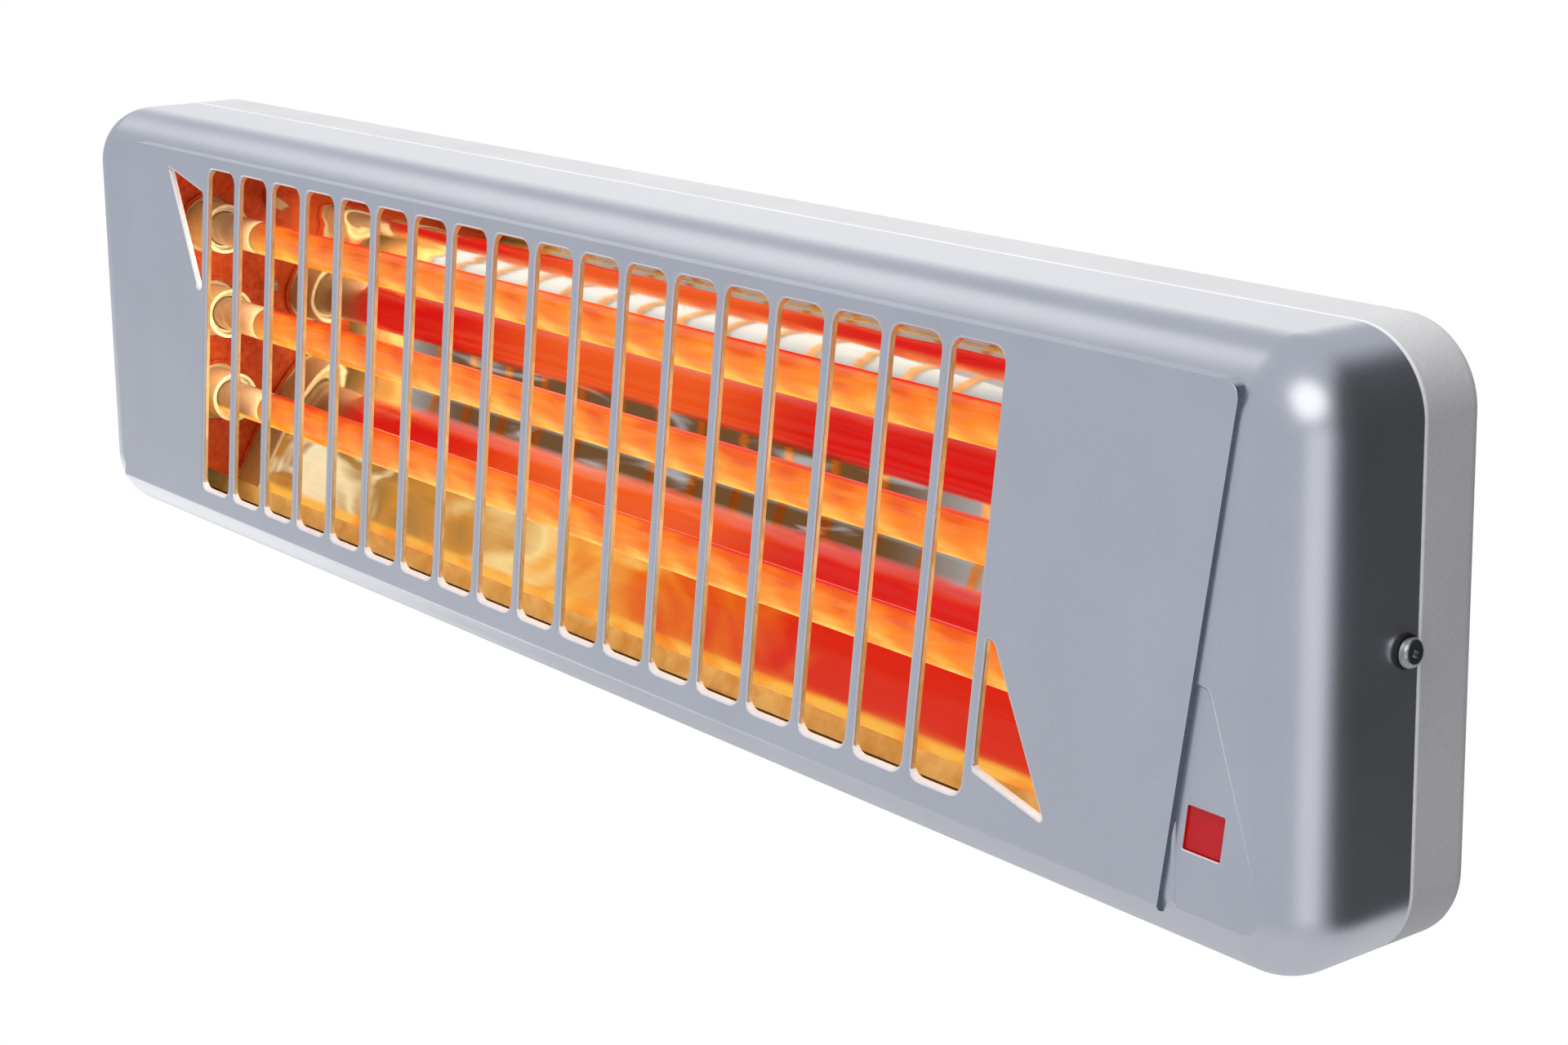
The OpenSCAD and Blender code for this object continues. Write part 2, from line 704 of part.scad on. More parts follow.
// A strip that holds the three collars against the end plate
module cap_clamp() {
    foot_x = plate_x + plate_t;
    difference() {
        translate([0, 0, tube_z - cap_tail_d / 2 - 3]) linear_extrude(cap_tail_d + 6) translate([0, axis_y]) {
            translate([clamp_x, -clamp_half]) square([clamp_t, 2 * clamp_half]);
            for (s = [0, 1]) mirror([0, s]) {
                translate([foot_x, clamp_half - clamp_t]) square([clamp_x - foot_x + clamp_t, clamp_t]);
                translate([foot_x, clamp_half - clamp_t]) square([clamp_t, clamp_foot + clamp_t]);
            }
        }
        for (row = tube_rows) at_tube(row) rod_x(cap_tail_d + 0.4, clamp_x - 1, clamp_x + 2);
        for (s = [-1, 1]) translate([0, axis_y + s * (clamp_half + clamp_foot / 2), tube_z])
            rod_x(screw_d, foot_x - 1, foot_x + 3);
    }
}

module left_cap_clamp() {
    place() color("silver") mirror([1, 0, 0]) cap_clamp();
}

module right_cap_clamp() {
    place() color("silver") cap_clamp();
}

module cap_clamp_screws() {
    place() color("silver") each_side() for (s = [-1, 1])
        translate([plate_x + plate_t + clamp_t, axis_y + s * (clamp_half + clamp_foot / 2), tube_z])
            rotate([0, 90, 0]) pan_screw(4.5, d = screw_d - 0.7, head_d = 6, head_h = 2);
}

module terminal_studs() {
    place() color("silver") each_side() for (row = tube_rows) at_tube(row) rod_x(screw_d, stud_start, stud_end);
}

module terminal_nuts() {
    place() color("silver") each_side() for (row = tube_rows) at_tube(row)
        for (x = [cap_tail_x, bus_x + bus_t]) translate([x, 0, 0]) rotate([0, 90, 0]) hex_nut();
}

module bus_bar() {
    difference() {
        translate([bus_x, axis_y - tube_pitch - bus_w / 2, tube_z - bus_w / 2])
            cube([bus_t, 2 * tube_pitch + bus_w, bus_w]);
        for (row = tube_rows) at_tube(row) rod_x(screw_d + 0.3, bus_x - 1, bus_x + bus_t + 1);
    }
}

module live_bus_bar() {
    place() color("goldenrod") mirror([1, 0, 0]) bus_bar();
}

module neutral_bus_bar() {
    place() color("goldenrod") bus_bar();
}

// ---- Wiring ----

module thermal_cutout() {
    x = plate_x + plate_t;
    place() color("ivory") translate([0, cutout_y, cutout_z]) mirror([1, 0, 0]) {
        difference() {
            translate([x, -12.5, -cutout_d / 2 + 2]) cube([1, 25, cutout_d - 4]);
            for (s = [-1, 1]) translate([0, s * 9.5, 0]) rod_x(2.8, x - 1, x + 3);
        }
        rod_x(cutout_d - 2, x, x + 8);
        rod_x(cutout_d, x + 3, x + 11);
        for (s = [-1, 1]) translate([x + 10.5, s * spade_gap / 2 - 0.4, -3.1]) cube([8.5, 0.8, 6.2]);
    }
}

module cutout_screws() {
    place() color("silver") for (s = [-1, 1])
        translate([-(plate_x + plate_t + 1), cutout_y + s * 9.5, cutout_z])
            rotate([0, -90, 0]) pan_screw(3.5, d = 2.6, head_d = 4.6, head_h = 1.7);
}

module terminal_block() {
    place() color("whitesmoke") translate([block_x, block_y, floor_z]) difference() {
        union() {
            translate([-block_size.x / 2, -block_size.y / 2, 0]) cube([block_size.x, block_size.y, 9]);
            for (k = [-1, 0, 1]) translate([-block_size.x / 2, k * 11 - 3, 0])
                cube([block_size.x, 6, block_size.z]);
        }
        for (k = [-1, 0, 1]) translate([0, k * 11, 5]) rod_x(wire_d + 0.8, -20, 20);
        for (k = [-1, 0, 1], s = [-1, 1]) translate([s * 5, k * 11, 5]) cylinder(d = 3.4, h = 20);
        for (k = [-1, 1]) translate([0, k * 5.5, -1]) cylinder(d = 3, h = 20);
    }
}

module terminal_block_screws() {
    place() color("silver") translate([block_x, block_y, floor_z]) {
        for (k = [-1, 0, 1], s = [-1, 1]) translate([s * 5, k * 11, 6.7]) difference() {
            cylinder(d = 3.2, h = 5);
            translate([-2, -0.3, 4]) cube([4, 0.6, 2]);
        }
        for (k = [-1, 1]) translate([0, k * 5.5, 0]) {
            cylinder(d = 2.8, h = 9.5);
            translate([0, 0, 9]) cylinder(d = 4.6, h = 1.6);
        }
    }
}

module live_feed_wire() {
    y = cutout_y - spade_gap / 2;
    place() color("saddlebrown") wire([
        [block_x + 3, block_y, floor_z + 5], [block_x + 16, block_y, floor_z + 5],
        [block_x + 16, y - 12, floor_z + 7], [-spade_x - 6, y - 5, cutout_z],
        [-spade_x - 6, y, cutout_z], [-spade_x, y, cutout_z]]);
}

module live_link_wire() {
    y = axis_y + tube_pitch / 2;
    place() color("saddlebrown") wire([
        [-spade_x, cutout_y + spade_gap / 2, cutout_z], [-spade_x - 7, cutout_y + spade_gap / 2, cutout_z],
        [-spade_x - 7, cutout_y + spade_gap / 2, tube_z - 6], [-spade_x - 7, y, tube_z],
        [-bus_x - bus_t, y, tube_z]]);
}

module neutral_wire() {
    y = axis_y - tube_pitch / 2;
    place() color("steelblue") wire([
        [block_x + 3, block_y - 11, floor_z + 5], [block_x + 16, block_y - 11, floor_z + 5],
        [-plate_x - 6, wire_y, wire_z], [-plate_x + 8, wire_y, wire_z],
        [plate_x - 8, wire_y, wire_z], [plate_x + 10, wire_y, wire_z],
        [bus_x + 12, y, wire_z + 8], [bus_x + 12, y, tube_z], [bus_x + bus_t, y, tube_z]]);
}

module earth_wire() {
    place() color("yellowgreen") wire([
        [block_x + 3, block_y + 11, floor_z + 5], [block_x + 11, block_y + 11, floor_z + 5],
        [block_x + 11, block_y + 34, floor_z + 4], [earth_x + 2, earth_y - 14, floor_z + 4],
        [earth_x, earth_y - nut_flats / 2 - 0.2, floor_z + 2.6]]);
}

module earth_stud() {
    place() color("silver") translate([earth_x, earth_y, floor_z]) {
        cylinder(d = screw_d, h = 12);
        cylinder(d = 9, h = 1);
    }
}

module earth_nut() {
    place() color("silver") translate([earth_x, earth_y, floor_z + 1]) hex_nut();
}

// ---- Cable gland ----

// Turns a drawing along z so that it hangs down from the underside of the housing
module under_housing() {
    translate([gland_x, -half_h, gland_z]) rotate([90, 0, 0]) children();
}

module cable_gland() {
    place() color("gray") under_housing() difference() {
        union() {
            cylinder(d = gland_flats / cos(30), h = gland_flange_t, $fn = 6);
            translate([0, 0, -housing_t - gland_nut_t - 1.5]) cylinder(d = gland_d, h = 10);
            cylinder(d = gland_d, h = gland_flange_t + 5);
        }
        translate([0, 0, -12]) cylinder(d = cable_d + 1, h = 30);
        translate([0, 0, gland_flange_t - 5]) cylinder(d = cable_d + 2.2, h = 12);
    }
}

module gland_seal() {
    place() color("black") under_housing() translate([0, 0, gland_flange_t - 5]) difference() {
        cylinder(d = cable_d + 2, h = gland_seal_l);
        translate([0, 0, -1]) cylinder(d = cable_d, h = gland_seal_l + 2);
    }
}

module gland_dome_nut() {
    place() color("gray") under_housing() difference() {
        translate([0, 0, gland_flange_t]) {
            cylinder(d = gland_flats / cos(30), h = gland_dome_t - 3, $fn = 6);
            cylinder(d = gland_flats - 2, h = gland_dome_t);
        }
        cylinder(d = gland_d + 0.2, h = gland_flange_t + 5.2);
        cylinder(d = cable_d + 0.6, h = gland_flange_t + gland_dome_t + 1);
    }
}

module gland_lock_nut() {
    place() color("gray") under_housing() translate([0, 0, -housing_t - gland_nut_t])
        hex_nut(gland_flats - 0.4, gland_nut_t, gland_d + 0.1);
}

// ---- Swivel bracket on the casing, and wall bracket ----

// The side view of an ear that ends round the tilting axis
module ear_profile(r, from_z) {
    translate([0, pivot_out]) circle(r);
    translate([-r, min(from_z, pivot_out)]) square([2 * r, abs(from_z - pivot_out)]);
}

module swivel_bracket() {
    place() color("gainsboro") difference() {
        union() {
            translate([-swivel_half, -swivel_h / 2, stand_off - swivel_t])
                cube([2 * swivel_half, swivel_h, swivel_t]);
            each_side() along_x(swivel_half - swivel_t, swivel_half) ear_profile(swivel_ear_r, stand_off);
        }
        translate([0, 0, pivot_out]) rod_x(pivot_d + 2 * pivot_clear, -swivel_half - 1, swivel_half + 1);
        for (sx = [-1, 1], sy = [-1, 1])
            translate([sx * swivel_screw_x, sy * swivel_screw_y, stand_off - swivel_t - 1])
                cylinder(d = screw_d + 0.3, h = swivel_t + 2);
    }
}

module swivel_bracket_screws() {
    place() color("silver") for (sx = [-1, 1], sy = [-1, 1])
        translate([sx * swivel_screw_x, sy * swivel_screw_y, stand_off - swivel_t])
            rotate([180, 0, 0]) pan_screw(swivel_t + housing_t + nut_t);
}

module swivel_bracket_nuts() {
    place() color("silver") for (sx = [-1, 1], sy = [-1, 1])
        translate([sx * swivel_screw_x, sy * swivel_screw_y, floor_z]) hex_nut();
}

module wall_bracket() {
    half = bracket_w / 2;
    place() color("gainsboro") difference() {
        union() {
            linear_extrude(bracket_t) square([bracket_w, bracket_h], center = true);
            each_side() along_x(half - bracket_t, half) ear_profile(bracket_ear_r, 0);
        }
        translate([0, 0, pivot_out]) rod_x(pivot_d + 2 * pivot_clear, -half - 1, half + 1);
        for (sx = [-1, 1], sy = [-1, 1])
            translate([sx * wall_screw_x / 2, sy * wall_screw_y / 2, -1])
                cylinder(d = wall_hole_d, h = bracket_t + 2);
    }
}

module pivot_bolts() {
    half = bracket_w / 2;
    end = swivel_half - swivel_t - face_clear - pivot_nut_t - 2;
    place() color("silver") each_side() translate([0, 0, pivot_out]) {
        rod_x(pivot_d, end, half + 0.1);
        hex_x(pivot_flats, half, half + pivot_head_t);
    }
}

module pivot_washers() {
    x = swivel_half + face_clear;
    place() color("dimgray") each_side() translate([0, 0, pivot_out]) difference() {
        rod_x(2 * pivot_d + 2, x, x + pivot_washer_t);
        rod_x(pivot_d + 2 * pivot_clear, x - 1, x + pivot_washer_t + 1);
    }
}

module pivot_nuts() {
    x = swivel_half - swivel_t - face_clear;
    place() color("silver") each_side() translate([0, 0, pivot_out]) difference() {
        hex_x(pivot_flats, x - pivot_nut_t, x);
        rod_x(pivot_d + 0.05, x - pivot_nut_t - 1, x + 1);
    }
}

front_cover();
badge_plate();
rear_housing();
end_screws();
end_screw_washers();
end_screw_nuts();
reflector();
left_end_plate();
right_end_plate();
reflector_rivets();
end_plate_screws();
heat_shield();
heat_shield_rivets();
quartz_tube(1);  // quartz_tube_top
quartz_tube(0);  // quartz_tube_middle
quartz_tube(-1);  // quartz_tube_bottom
heating_coil(1);  // heating_coil_top
heating_coil(0);  // heating_coil_middle
heating_coil(-1);  // heating_coil_bottom
left_cap(1);  // left_cap_top
left_cap(0);  // left_cap_middle
left_cap(-1);  // left_cap_bottom
right_cap(1);  // right_cap_top
right_cap(0);  // right_cap_middle
right_cap(-1);  // right_cap_bottom
left_cap_clamp();
right_cap_clamp();
cap_clamp_screws();
terminal_studs();
terminal_nuts();
live_bus_bar();
neutral_bus_bar();
thermal_cutout();
cutout_screws();
terminal_block();
terminal_block_screws();
live_feed_wire();
live_link_wire();
neutral_wire();
earth_wire();
earth_stud();
earth_nut();
cable_gland();
gland_seal();
gland_dome_nut();
gland_lock_nut();
swivel_bracket();
swivel_bracket_screws();
swivel_bracket_nuts();
wall_bracket();
pivot_bolts();
pivot_washers();
pivot_nuts();
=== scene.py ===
import json
import math

import bmesh
import bpy
from mathutils import Matrix, Vector

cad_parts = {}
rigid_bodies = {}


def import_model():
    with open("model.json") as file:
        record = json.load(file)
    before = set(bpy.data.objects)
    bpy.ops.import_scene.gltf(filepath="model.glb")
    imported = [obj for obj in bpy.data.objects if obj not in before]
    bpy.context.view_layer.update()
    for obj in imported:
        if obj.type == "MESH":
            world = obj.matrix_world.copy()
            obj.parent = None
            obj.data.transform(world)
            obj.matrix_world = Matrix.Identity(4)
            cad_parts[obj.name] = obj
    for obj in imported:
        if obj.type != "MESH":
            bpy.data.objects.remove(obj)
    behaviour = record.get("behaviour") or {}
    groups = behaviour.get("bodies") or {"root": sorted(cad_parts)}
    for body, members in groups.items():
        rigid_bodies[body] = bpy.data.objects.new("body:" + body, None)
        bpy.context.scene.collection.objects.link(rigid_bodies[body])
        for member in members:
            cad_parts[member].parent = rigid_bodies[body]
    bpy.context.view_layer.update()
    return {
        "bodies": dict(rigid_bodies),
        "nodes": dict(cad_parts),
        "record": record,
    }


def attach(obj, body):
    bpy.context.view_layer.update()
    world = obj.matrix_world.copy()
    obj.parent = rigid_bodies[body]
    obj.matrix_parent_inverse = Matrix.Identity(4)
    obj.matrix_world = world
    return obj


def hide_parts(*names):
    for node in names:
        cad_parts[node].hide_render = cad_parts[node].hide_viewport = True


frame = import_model()
mm = 0.001
# pieces are drawn lying on their backs in millimetres, as in the part's source, and then stood up in metres
standUp = Matrix.Rotation(math.radians(90), 4, "X") @ Matrix.Scale(mm, 4)


def linearColour(hexText):
    channels = [int(hexText[i:i + 2], 16) / 255 for i in (1, 3, 5)]
    return [c / 12.92 if c <= 0.04045 else ((c + 0.055) / 1.055) ** 2.4 for c in channels] + [1.0]


def addNode(tree, kind, links=None, **settings):
    node = tree.nodes.new(kind)
    for key, value in settings.items():
        if key.startswith("in_"):
            name = key[3:].replace("_", " ")
            socket = node.inputs[int(name)] if name.isdigit() else node.inputs[name]
            socket.default_value = value
        else:
            setattr(node, key, value)
    for name, source in (links or {}).items():
        tree.links.new(source, node.inputs[name])
    return node


def newMaterial(name):
    material = bpy.data.materials.new(name)
    material.use_nodes = True
    tree = material.node_tree
    tree.nodes.clear()
    output = addNode(tree, "ShaderNodeOutputMaterial")
    shader = addNode(tree, "ShaderNodeBsdfPrincipled")
    tree.links.new(shader.outputs[0], output.inputs["Surface"])
    return material, tree, shader


def objectCoords(tree):
    return addNode(tree, "ShaderNodeTexCoord").outputs["Object"]


def fillRamp(ramp, stops):
    while len(ramp.elements) < len(stops):
        ramp.elements.new(0.5)
    for element, (position, hexText) in zip(ramp.elements, stops):
        element.position = position
        element.color = linearColour(hexText)


def grainedMaterial(name, dark, light, grain, metallic, roughness, relief, stretch=(1, 1, 1), patch=40):
    # a finish whose fine grain and slow patches both shade its colour and its gloss;
    # grain, patch and relief, the depth of the grain, are in millimetres
    material, tree, shader = newMaterial(name)
    coords = addNode(tree, "ShaderNodeMapping", {"Vector": objectCoords(tree)}, in_Scale=stretch).outputs[0]
    fine = addNode(tree, "ShaderNodeTexNoise", {"Vector": coords}, in_Scale=1 / (grain * mm), in_Detail=3.0)
    slow = addNode(tree, "ShaderNodeTexNoise", {"Vector": coords}, in_Scale=1 / (patch * mm), in_Detail=2.0)
    both = addNode(tree, "ShaderNodeMath", {0: fine.outputs[0], 1: slow.outputs[0]}, operation="ADD")
    blend = addNode(tree, "ShaderNodeMapRange", {0: both.outputs[0]}, in_1=0.75, in_2=1.25)
    colour = addNode(tree, "ShaderNodeMix", {0: blend.outputs[0]}, data_type="RGBA",
                     in_6=linearColour(dark), in_7=linearColour(light))
    tree.links.new(colour.outputs[2], shader.inputs["Base Color"])
    gloss = addNode(tree, "ShaderNodeMapRange", {0: both.outputs[0]}, in_1=0.7, in_2=1.3,
                    in_3=roughness[0], in_4=roughness[1])
    tree.links.new(gloss.outputs[0], shader.inputs["Roughness"])
    bump = addNode(tree, "ShaderNodeBump", {"Height": fine.outputs[0]}, in_Strength=0.5,
                   in_Distance=relief * mm)
    tree.links.new(bump.outputs[0], shader.inputs["Normal"])
    shader.inputs["Metallic"].default_value = metallic
    return material


# camera and light

camera = {
    "place": (0.72306, -0.57402, 0.2075),
    "turn": (78.727, 0.712, 51.836),
    "lens": 66.48,
    "sensor": 36,
    "near": 0.01,
    "rise": -0.125,  # moves the picture up, as the photograph is framed
}

studio = {
    "ambient": 0.50,
    "ambientTint": (0.93, 0.966, 1.08, 1),  # the room round the boxes is a little cooler than they are
    "background": 1.0,
    # softboxes: degrees from the front toward +x, degrees up, degrees from full to none, brightness added
    "boxes": [
        (-128, 6, (12, 28), 0.53),  # wide panel behind on the left, lights the top
        (-80, 38, (8, 17), 0.48),  # narrow panel that draws the band along the top roll
        (-86, -36, (18, 28), 0.62),  # low panel on the left, lights the bottom roll and the mirror
        (58, -15, (8, 22), 0.30),  # strip that lights the right roll
        (47, 36, (11, 32), 0.95),  # key light over the right corner
        (134, 4, (38, 64), -0.46),  # black flag behind on the right
    ],
    "overhead": (1.5, 1.6, 19),  # size, height and watts of a diffuser over the heater
    "floor": -0.9, "floorRadius": 1.3, "paper": "#e2e2e2", "paperRoughness": 0.9,
}


def makeCamera():
    data = bpy.data.cameras.new("camera")
    data.lens = camera["lens"]
    data.sensor_width = camera["sensor"]
    data.shift_y = camera["rise"]
    data.clip_start = camera["near"]
    obj = bpy.data.objects.new("camera", data)
    obj.location = camera["place"]
    obj.rotation_euler = [math.radians(a) for a in camera["turn"]]
    bpy.context.scene.collection.objects.link(obj)
    bpy.context.scene.camera = obj


def makeStudio():
    world = bpy.data.worlds.new("studio")
    world.use_nodes = True
    tree = world.node_tree
    tree.nodes.clear()
    direction = addNode(tree, "ShaderNodeTexCoord").outputs["Generated"]
    level = addNode(tree, "ShaderNodeMath", operation="ADD", in_0=studio["ambient"], in_1=0.0)
    for compass, height, (core, fade), gain in studio["boxes"]:
        a, h = math.radians(compass), math.radians(height)
        toward = (math.sin(a) * math.cos(h), -math.cos(a) * math.cos(h), math.sin(h))
        facing = addNode(tree, "ShaderNodeVectorMath", {0: direction}, operation="DOT_PRODUCT", in_1=toward)
        box = addNode(tree, "ShaderNodeMapRange", {0: facing.outputs["Value"]},
                      interpolation_type="SMOOTHSTEP", in_1=math.cos(math.radians(fade)),
                      in_2=math.cos(math.radians(core)), in_3=0.0, in_4=gain)
        level = addNode(tree, "ShaderNodeMath", {0: box.outputs[0], 1: level.outputs[0]}, operation="ADD")
    rays = addNode(tree, "ShaderNodeLightPath")
    # the camera sees plain white behind the heater, and not the boxes themselves
    shown = addNode(tree, "ShaderNodeMix", {0: rays.outputs["Is Camera Ray"], 2: level.outputs[0]},
                    in_3=studio["background"])
    bright = addNode(tree, "ShaderNodeMapRange", {0: shown.outputs[0]}, in_1=studio["ambient"], in_2=1.0)
    tint = addNode(tree, "ShaderNodeMix", {0: bright.outputs[0]}, data_type="RGBA",
                   in_6=studio["ambientTint"], in_7=(1, 1, 1, 1))
    background = addNode(tree, "ShaderNodeBackground",
                         {"Color": tint.outputs[2], "Strength": shown.outputs[0]})
    addNode(tree, "ShaderNodeOutputWorld", {"Surface": background.outputs[0]})
    bpy.context.scene.world = world
    bpy.context.scene.view_settings.view_transform = "Standard"  # keeps the glow as saturated as it is

    size, height, watts = studio["overhead"]
    lamp = bpy.data.lights.new("overheadBank", "AREA")
    lamp.size, lamp.energy = size, watts
    bank = bpy.data.objects.new("overheadBank", lamp)
    bank.location = (0, 0, height)
    bank.visible_glossy = False  # kept out of the lacquer's reflections
    bpy.context.scene.collection.objects.link(bank)

    # paper floor, pale and matt
    material, tree, shader = newMaterial("studioPaper")
    shader.inputs["Base Color"].default_value = linearColour(studio["paper"])
    shader.inputs["Roughness"].default_value = studio["paperRoughness"]
    bm = bmesh.new()
    bmesh.ops.create_circle(bm, cap_ends=True, segments=96, radius=studio["floorRadius"])
    bmesh.ops.translate(bm, vec=(0, 0, studio["floor"]), verts=bm.verts)
    mesh = bpy.data.meshes.new("floor")
    bm.to_mesh(mesh)
    bm.free()
    mesh.materials.append(material)
    floor = bpy.data.objects.new("floor", mesh)
    bpy.context.scene.collection.objects.link(floor)


makeCamera()
makeStudio()
print("camera and studio")


# materials

lacquer = {
    "dark": "#dfe1e6", "light": "#e7e9ee", "metallic": 0.95, "roughness": (0.28, 0.31),
    "flake": 0.6, "cloud": 35, "peel": 3, "peelDepth": 0.02,  # millimetres
}


def makeSatinSilver():
    # metallic lacquer over pressed steel, sprayed: an even silver with a fine sparkle and soft reflections;
    # its flakes are about 0.05 mm and are drawn at 0.6 mm so that they show, under a slow 3 mm orange peel
    f = lacquer
    material, tree, shader = newMaterial("metallicLacquer")
    coords = objectCoords(tree)
    flake = addNode(tree, "ShaderNodeTexNoise", {"Vector": coords}, in_Scale=1 / (f["flake"] * mm),
                    in_Detail=2.0, in_Roughness=0.6)
    cloud = addNode(tree, "ShaderNodeTexNoise", {"Vector": coords}, in_Scale=1 / (f["cloud"] * mm),
                    in_Detail=3.0)
    peel = addNode(tree, "ShaderNodeTexNoise", {"Vector": coords}, in_Scale=1 / (f["peel"] * mm),
                   in_Detail=1.0)
    both = addNode(tree, "ShaderNodeMath", {0: flake.outputs[0], 1: cloud.outputs[0]}, operation="ADD")
    blend = addNode(tree, "ShaderNodeMapRange", {0: both.outputs[0]}, in_1=0.7, in_2=1.3)
    colour = addNode(tree, "ShaderNodeMix", {0: blend.outputs[0]}, data_type="RGBA",
                     in_6=linearColour(f["dark"]), in_7=linearColour(f["light"]))
    tree.links.new(colour.outputs[2], shader.inputs["Base Color"])
    gloss = addNode(tree, "ShaderNodeMapRange", {0: both.outputs[0]}, in_1=0.7, in_2=1.3,
                    in_3=f["roughness"][0], in_4=f["roughness"][1])
    tree.links.new(gloss.outputs[0], shader.inputs["Roughness"])
    bump = addNode(tree, "ShaderNodeBump", {"Height": peel.outputs[0]}, in_Strength=0.1,
                   in_Distance=f["peelDepth"] * mm)
    tree.links.new(bump.outputs[0], shader.inputs["Normal"])
    shader.inputs["Metallic"].default_value = f["metallic"]
    return material


mirror = {
    "dark": "#efe6d6", "light": "#faf5ea", "roughness": (0.03, 0.09),
    # what runs along x: millimetres across it, and how much its length is squeezed in the pattern
    "wave": (16, 0.22), "waveDepth": 0.5, "streak": (1.2, 0.02), "patch": (9, 0.16),
    # painted reflection: brown bands on the trough floor between these heights
    "reflectionBrown": "#9c6c3a", "reflectionHeights": (-35, 25),  # between these lie the bands, black where there is none
    "bands": [(0.24, "#000000"), (0.28, "#ffffff"), (0.36, "#ffffff"), (0.4, "#000000"),
              (0.55, "#000000"), (0.6, "#ffffff"), (0.68, "#ffffff"), (0.71, "#000000")],
    "broken": (0.30, 0.48), "reflectionHalf": (110, 170),  # painted brown out to the first, and none past the second
}


def makePolishedAluminium():
    # bright rolled aluminium: a mirror with long soft waves and faint rolling streaks along x
    f = mirror
    material, tree, shader = newMaterial("polishedAluminium")
    coords = objectCoords(tree)
    noise = {}
    for key, detail, distortion in (("wave", 1.5, 0.6), ("streak", 2.0, 0.0), ("patch", 2.0, 1.0)):
        size, squeeze = f[key]
        drawn = addNode(tree, "ShaderNodeMapping", {"Vector": coords}, in_Scale=(squeeze, 1, 1)).outputs[0]
        noise[key] = addNode(tree, "ShaderNodeTexNoise", {"Vector": drawn}, in_Scale=1 / (size * mm),
                             in_Detail=detail, in_Distortion=distortion).outputs[0]
    bright = addNode(tree, "ShaderNodeMix", {0: noise["streak"]}, data_type="RGBA",
                     in_6=linearColour(f["dark"]), in_7=linearColour(f["light"]))
    # painted reflection: broken brown streaks in bands across the floor, near the middle, for the dark brown
    # that the mirror shows between the tubes
    place = addNode(tree, "ShaderNodeSeparateXYZ", {0: coords})
    low, high = f["reflectionHeights"]
    rise = addNode(tree, "ShaderNodeMapRange", {0: place.outputs["Z"]}, in_1=low * mm, in_2=high * mm)
    band = addNode(tree, "ShaderNodeValToRGB", {0: rise.outputs[0]})
    fillRamp(band.color_ramp, f["bands"])
    broken = addNode(tree, "ShaderNodeMapRange", {0: noise["patch"]}, interpolation_type="SMOOTHSTEP",
                     in_1=f["broken"][0], in_2=f["broken"][1])
    offMiddle = addNode(tree, "ShaderNodeMath", {0: place.outputs["X"]}, operation="ABSOLUTE")
    near, far = f["reflectionHalf"]
    middle = addNode(tree, "ShaderNodeMapRange", {0: offMiddle.outputs[0]}, interpolation_type="SMOOTHSTEP",
                     in_1=near * mm, in_2=far * mm, in_3=1.0, in_4=0.0)
    hot = addNode(tree, "ShaderNodeMath", {0: band.outputs[0], 1: middle.outputs[0]}, operation="MULTIPLY")
    tint = addNode(tree, "ShaderNodeMath", {0: hot.outputs[0], 1: broken.outputs[0]}, operation="MULTIPLY")
    colour = addNode(tree, "ShaderNodeMix", {0: tint.outputs[0], 6: bright.outputs[2]}, data_type="RGBA",
                     in_7=linearColour(f["reflectionBrown"]))
    tree.links.new(colour.outputs[2], shader.inputs["Base Color"])
    gloss = addNode(tree, "ShaderNodeMapRange", {0: noise["streak"]}, in_3=f["roughness"][0],
                    in_4=f["roughness"][1])
    tree.links.new(gloss.outputs[0], shader.inputs["Roughness"])
    bump = addNode(tree, "ShaderNodeBump", {"Height": noise["wave"]}, in_Strength=0.35,
                   in_Distance=f["waveDepth"] * mm)
    tree.links.new(bump.outputs[0], shader.inputs["Normal"])
    shader.inputs["Metallic"].default_value = 1.0
    return material


glow = {
    "radius": 6.25,  # heights and depths in the glow are counted in this
    "strength": 1.0, "index": 1.46, "roughness": (0.12, 0.26),
    "lit": (196, 226),  # the winding glows out to the first, and not at all past the second
    "cloudScale": (18, 95, 120), "finger": 14.6,  # clouds to the metre, and millimetres from finger to finger
    "front": [(0.0, "#ffc152"), (0.2, "#ffa537"), (0.45, "#fb8a26"), (0.72, "#f67c22"), (1.0, "#ea5c1c")],
    "rear": ("#c80d12", "#ee1c18"), "hottest": "#f4641f", "hottestAt": -40, "hottestHalf": (30, 110),
    # along the bottom tube's underside, from left to right: its glow with a painted glare and swirls, as the
    # mirror below shows them
    "under": [(0.0, "#b07a3a"), (0.05, "#fff4d6"), (0.12, "#fbe9be"), (0.17, "#a57c3e"), (0.27, "#cf8f3a"),
              (0.37, "#ffe6a4"), (0.45, "#f9b450"), (0.53, "#ec7420"), (0.64, "#de2a1a")],
    "underHalf": 250, "dead": "#4a2c14", "glass": ("#3a0c04", "#a08a74"),
}


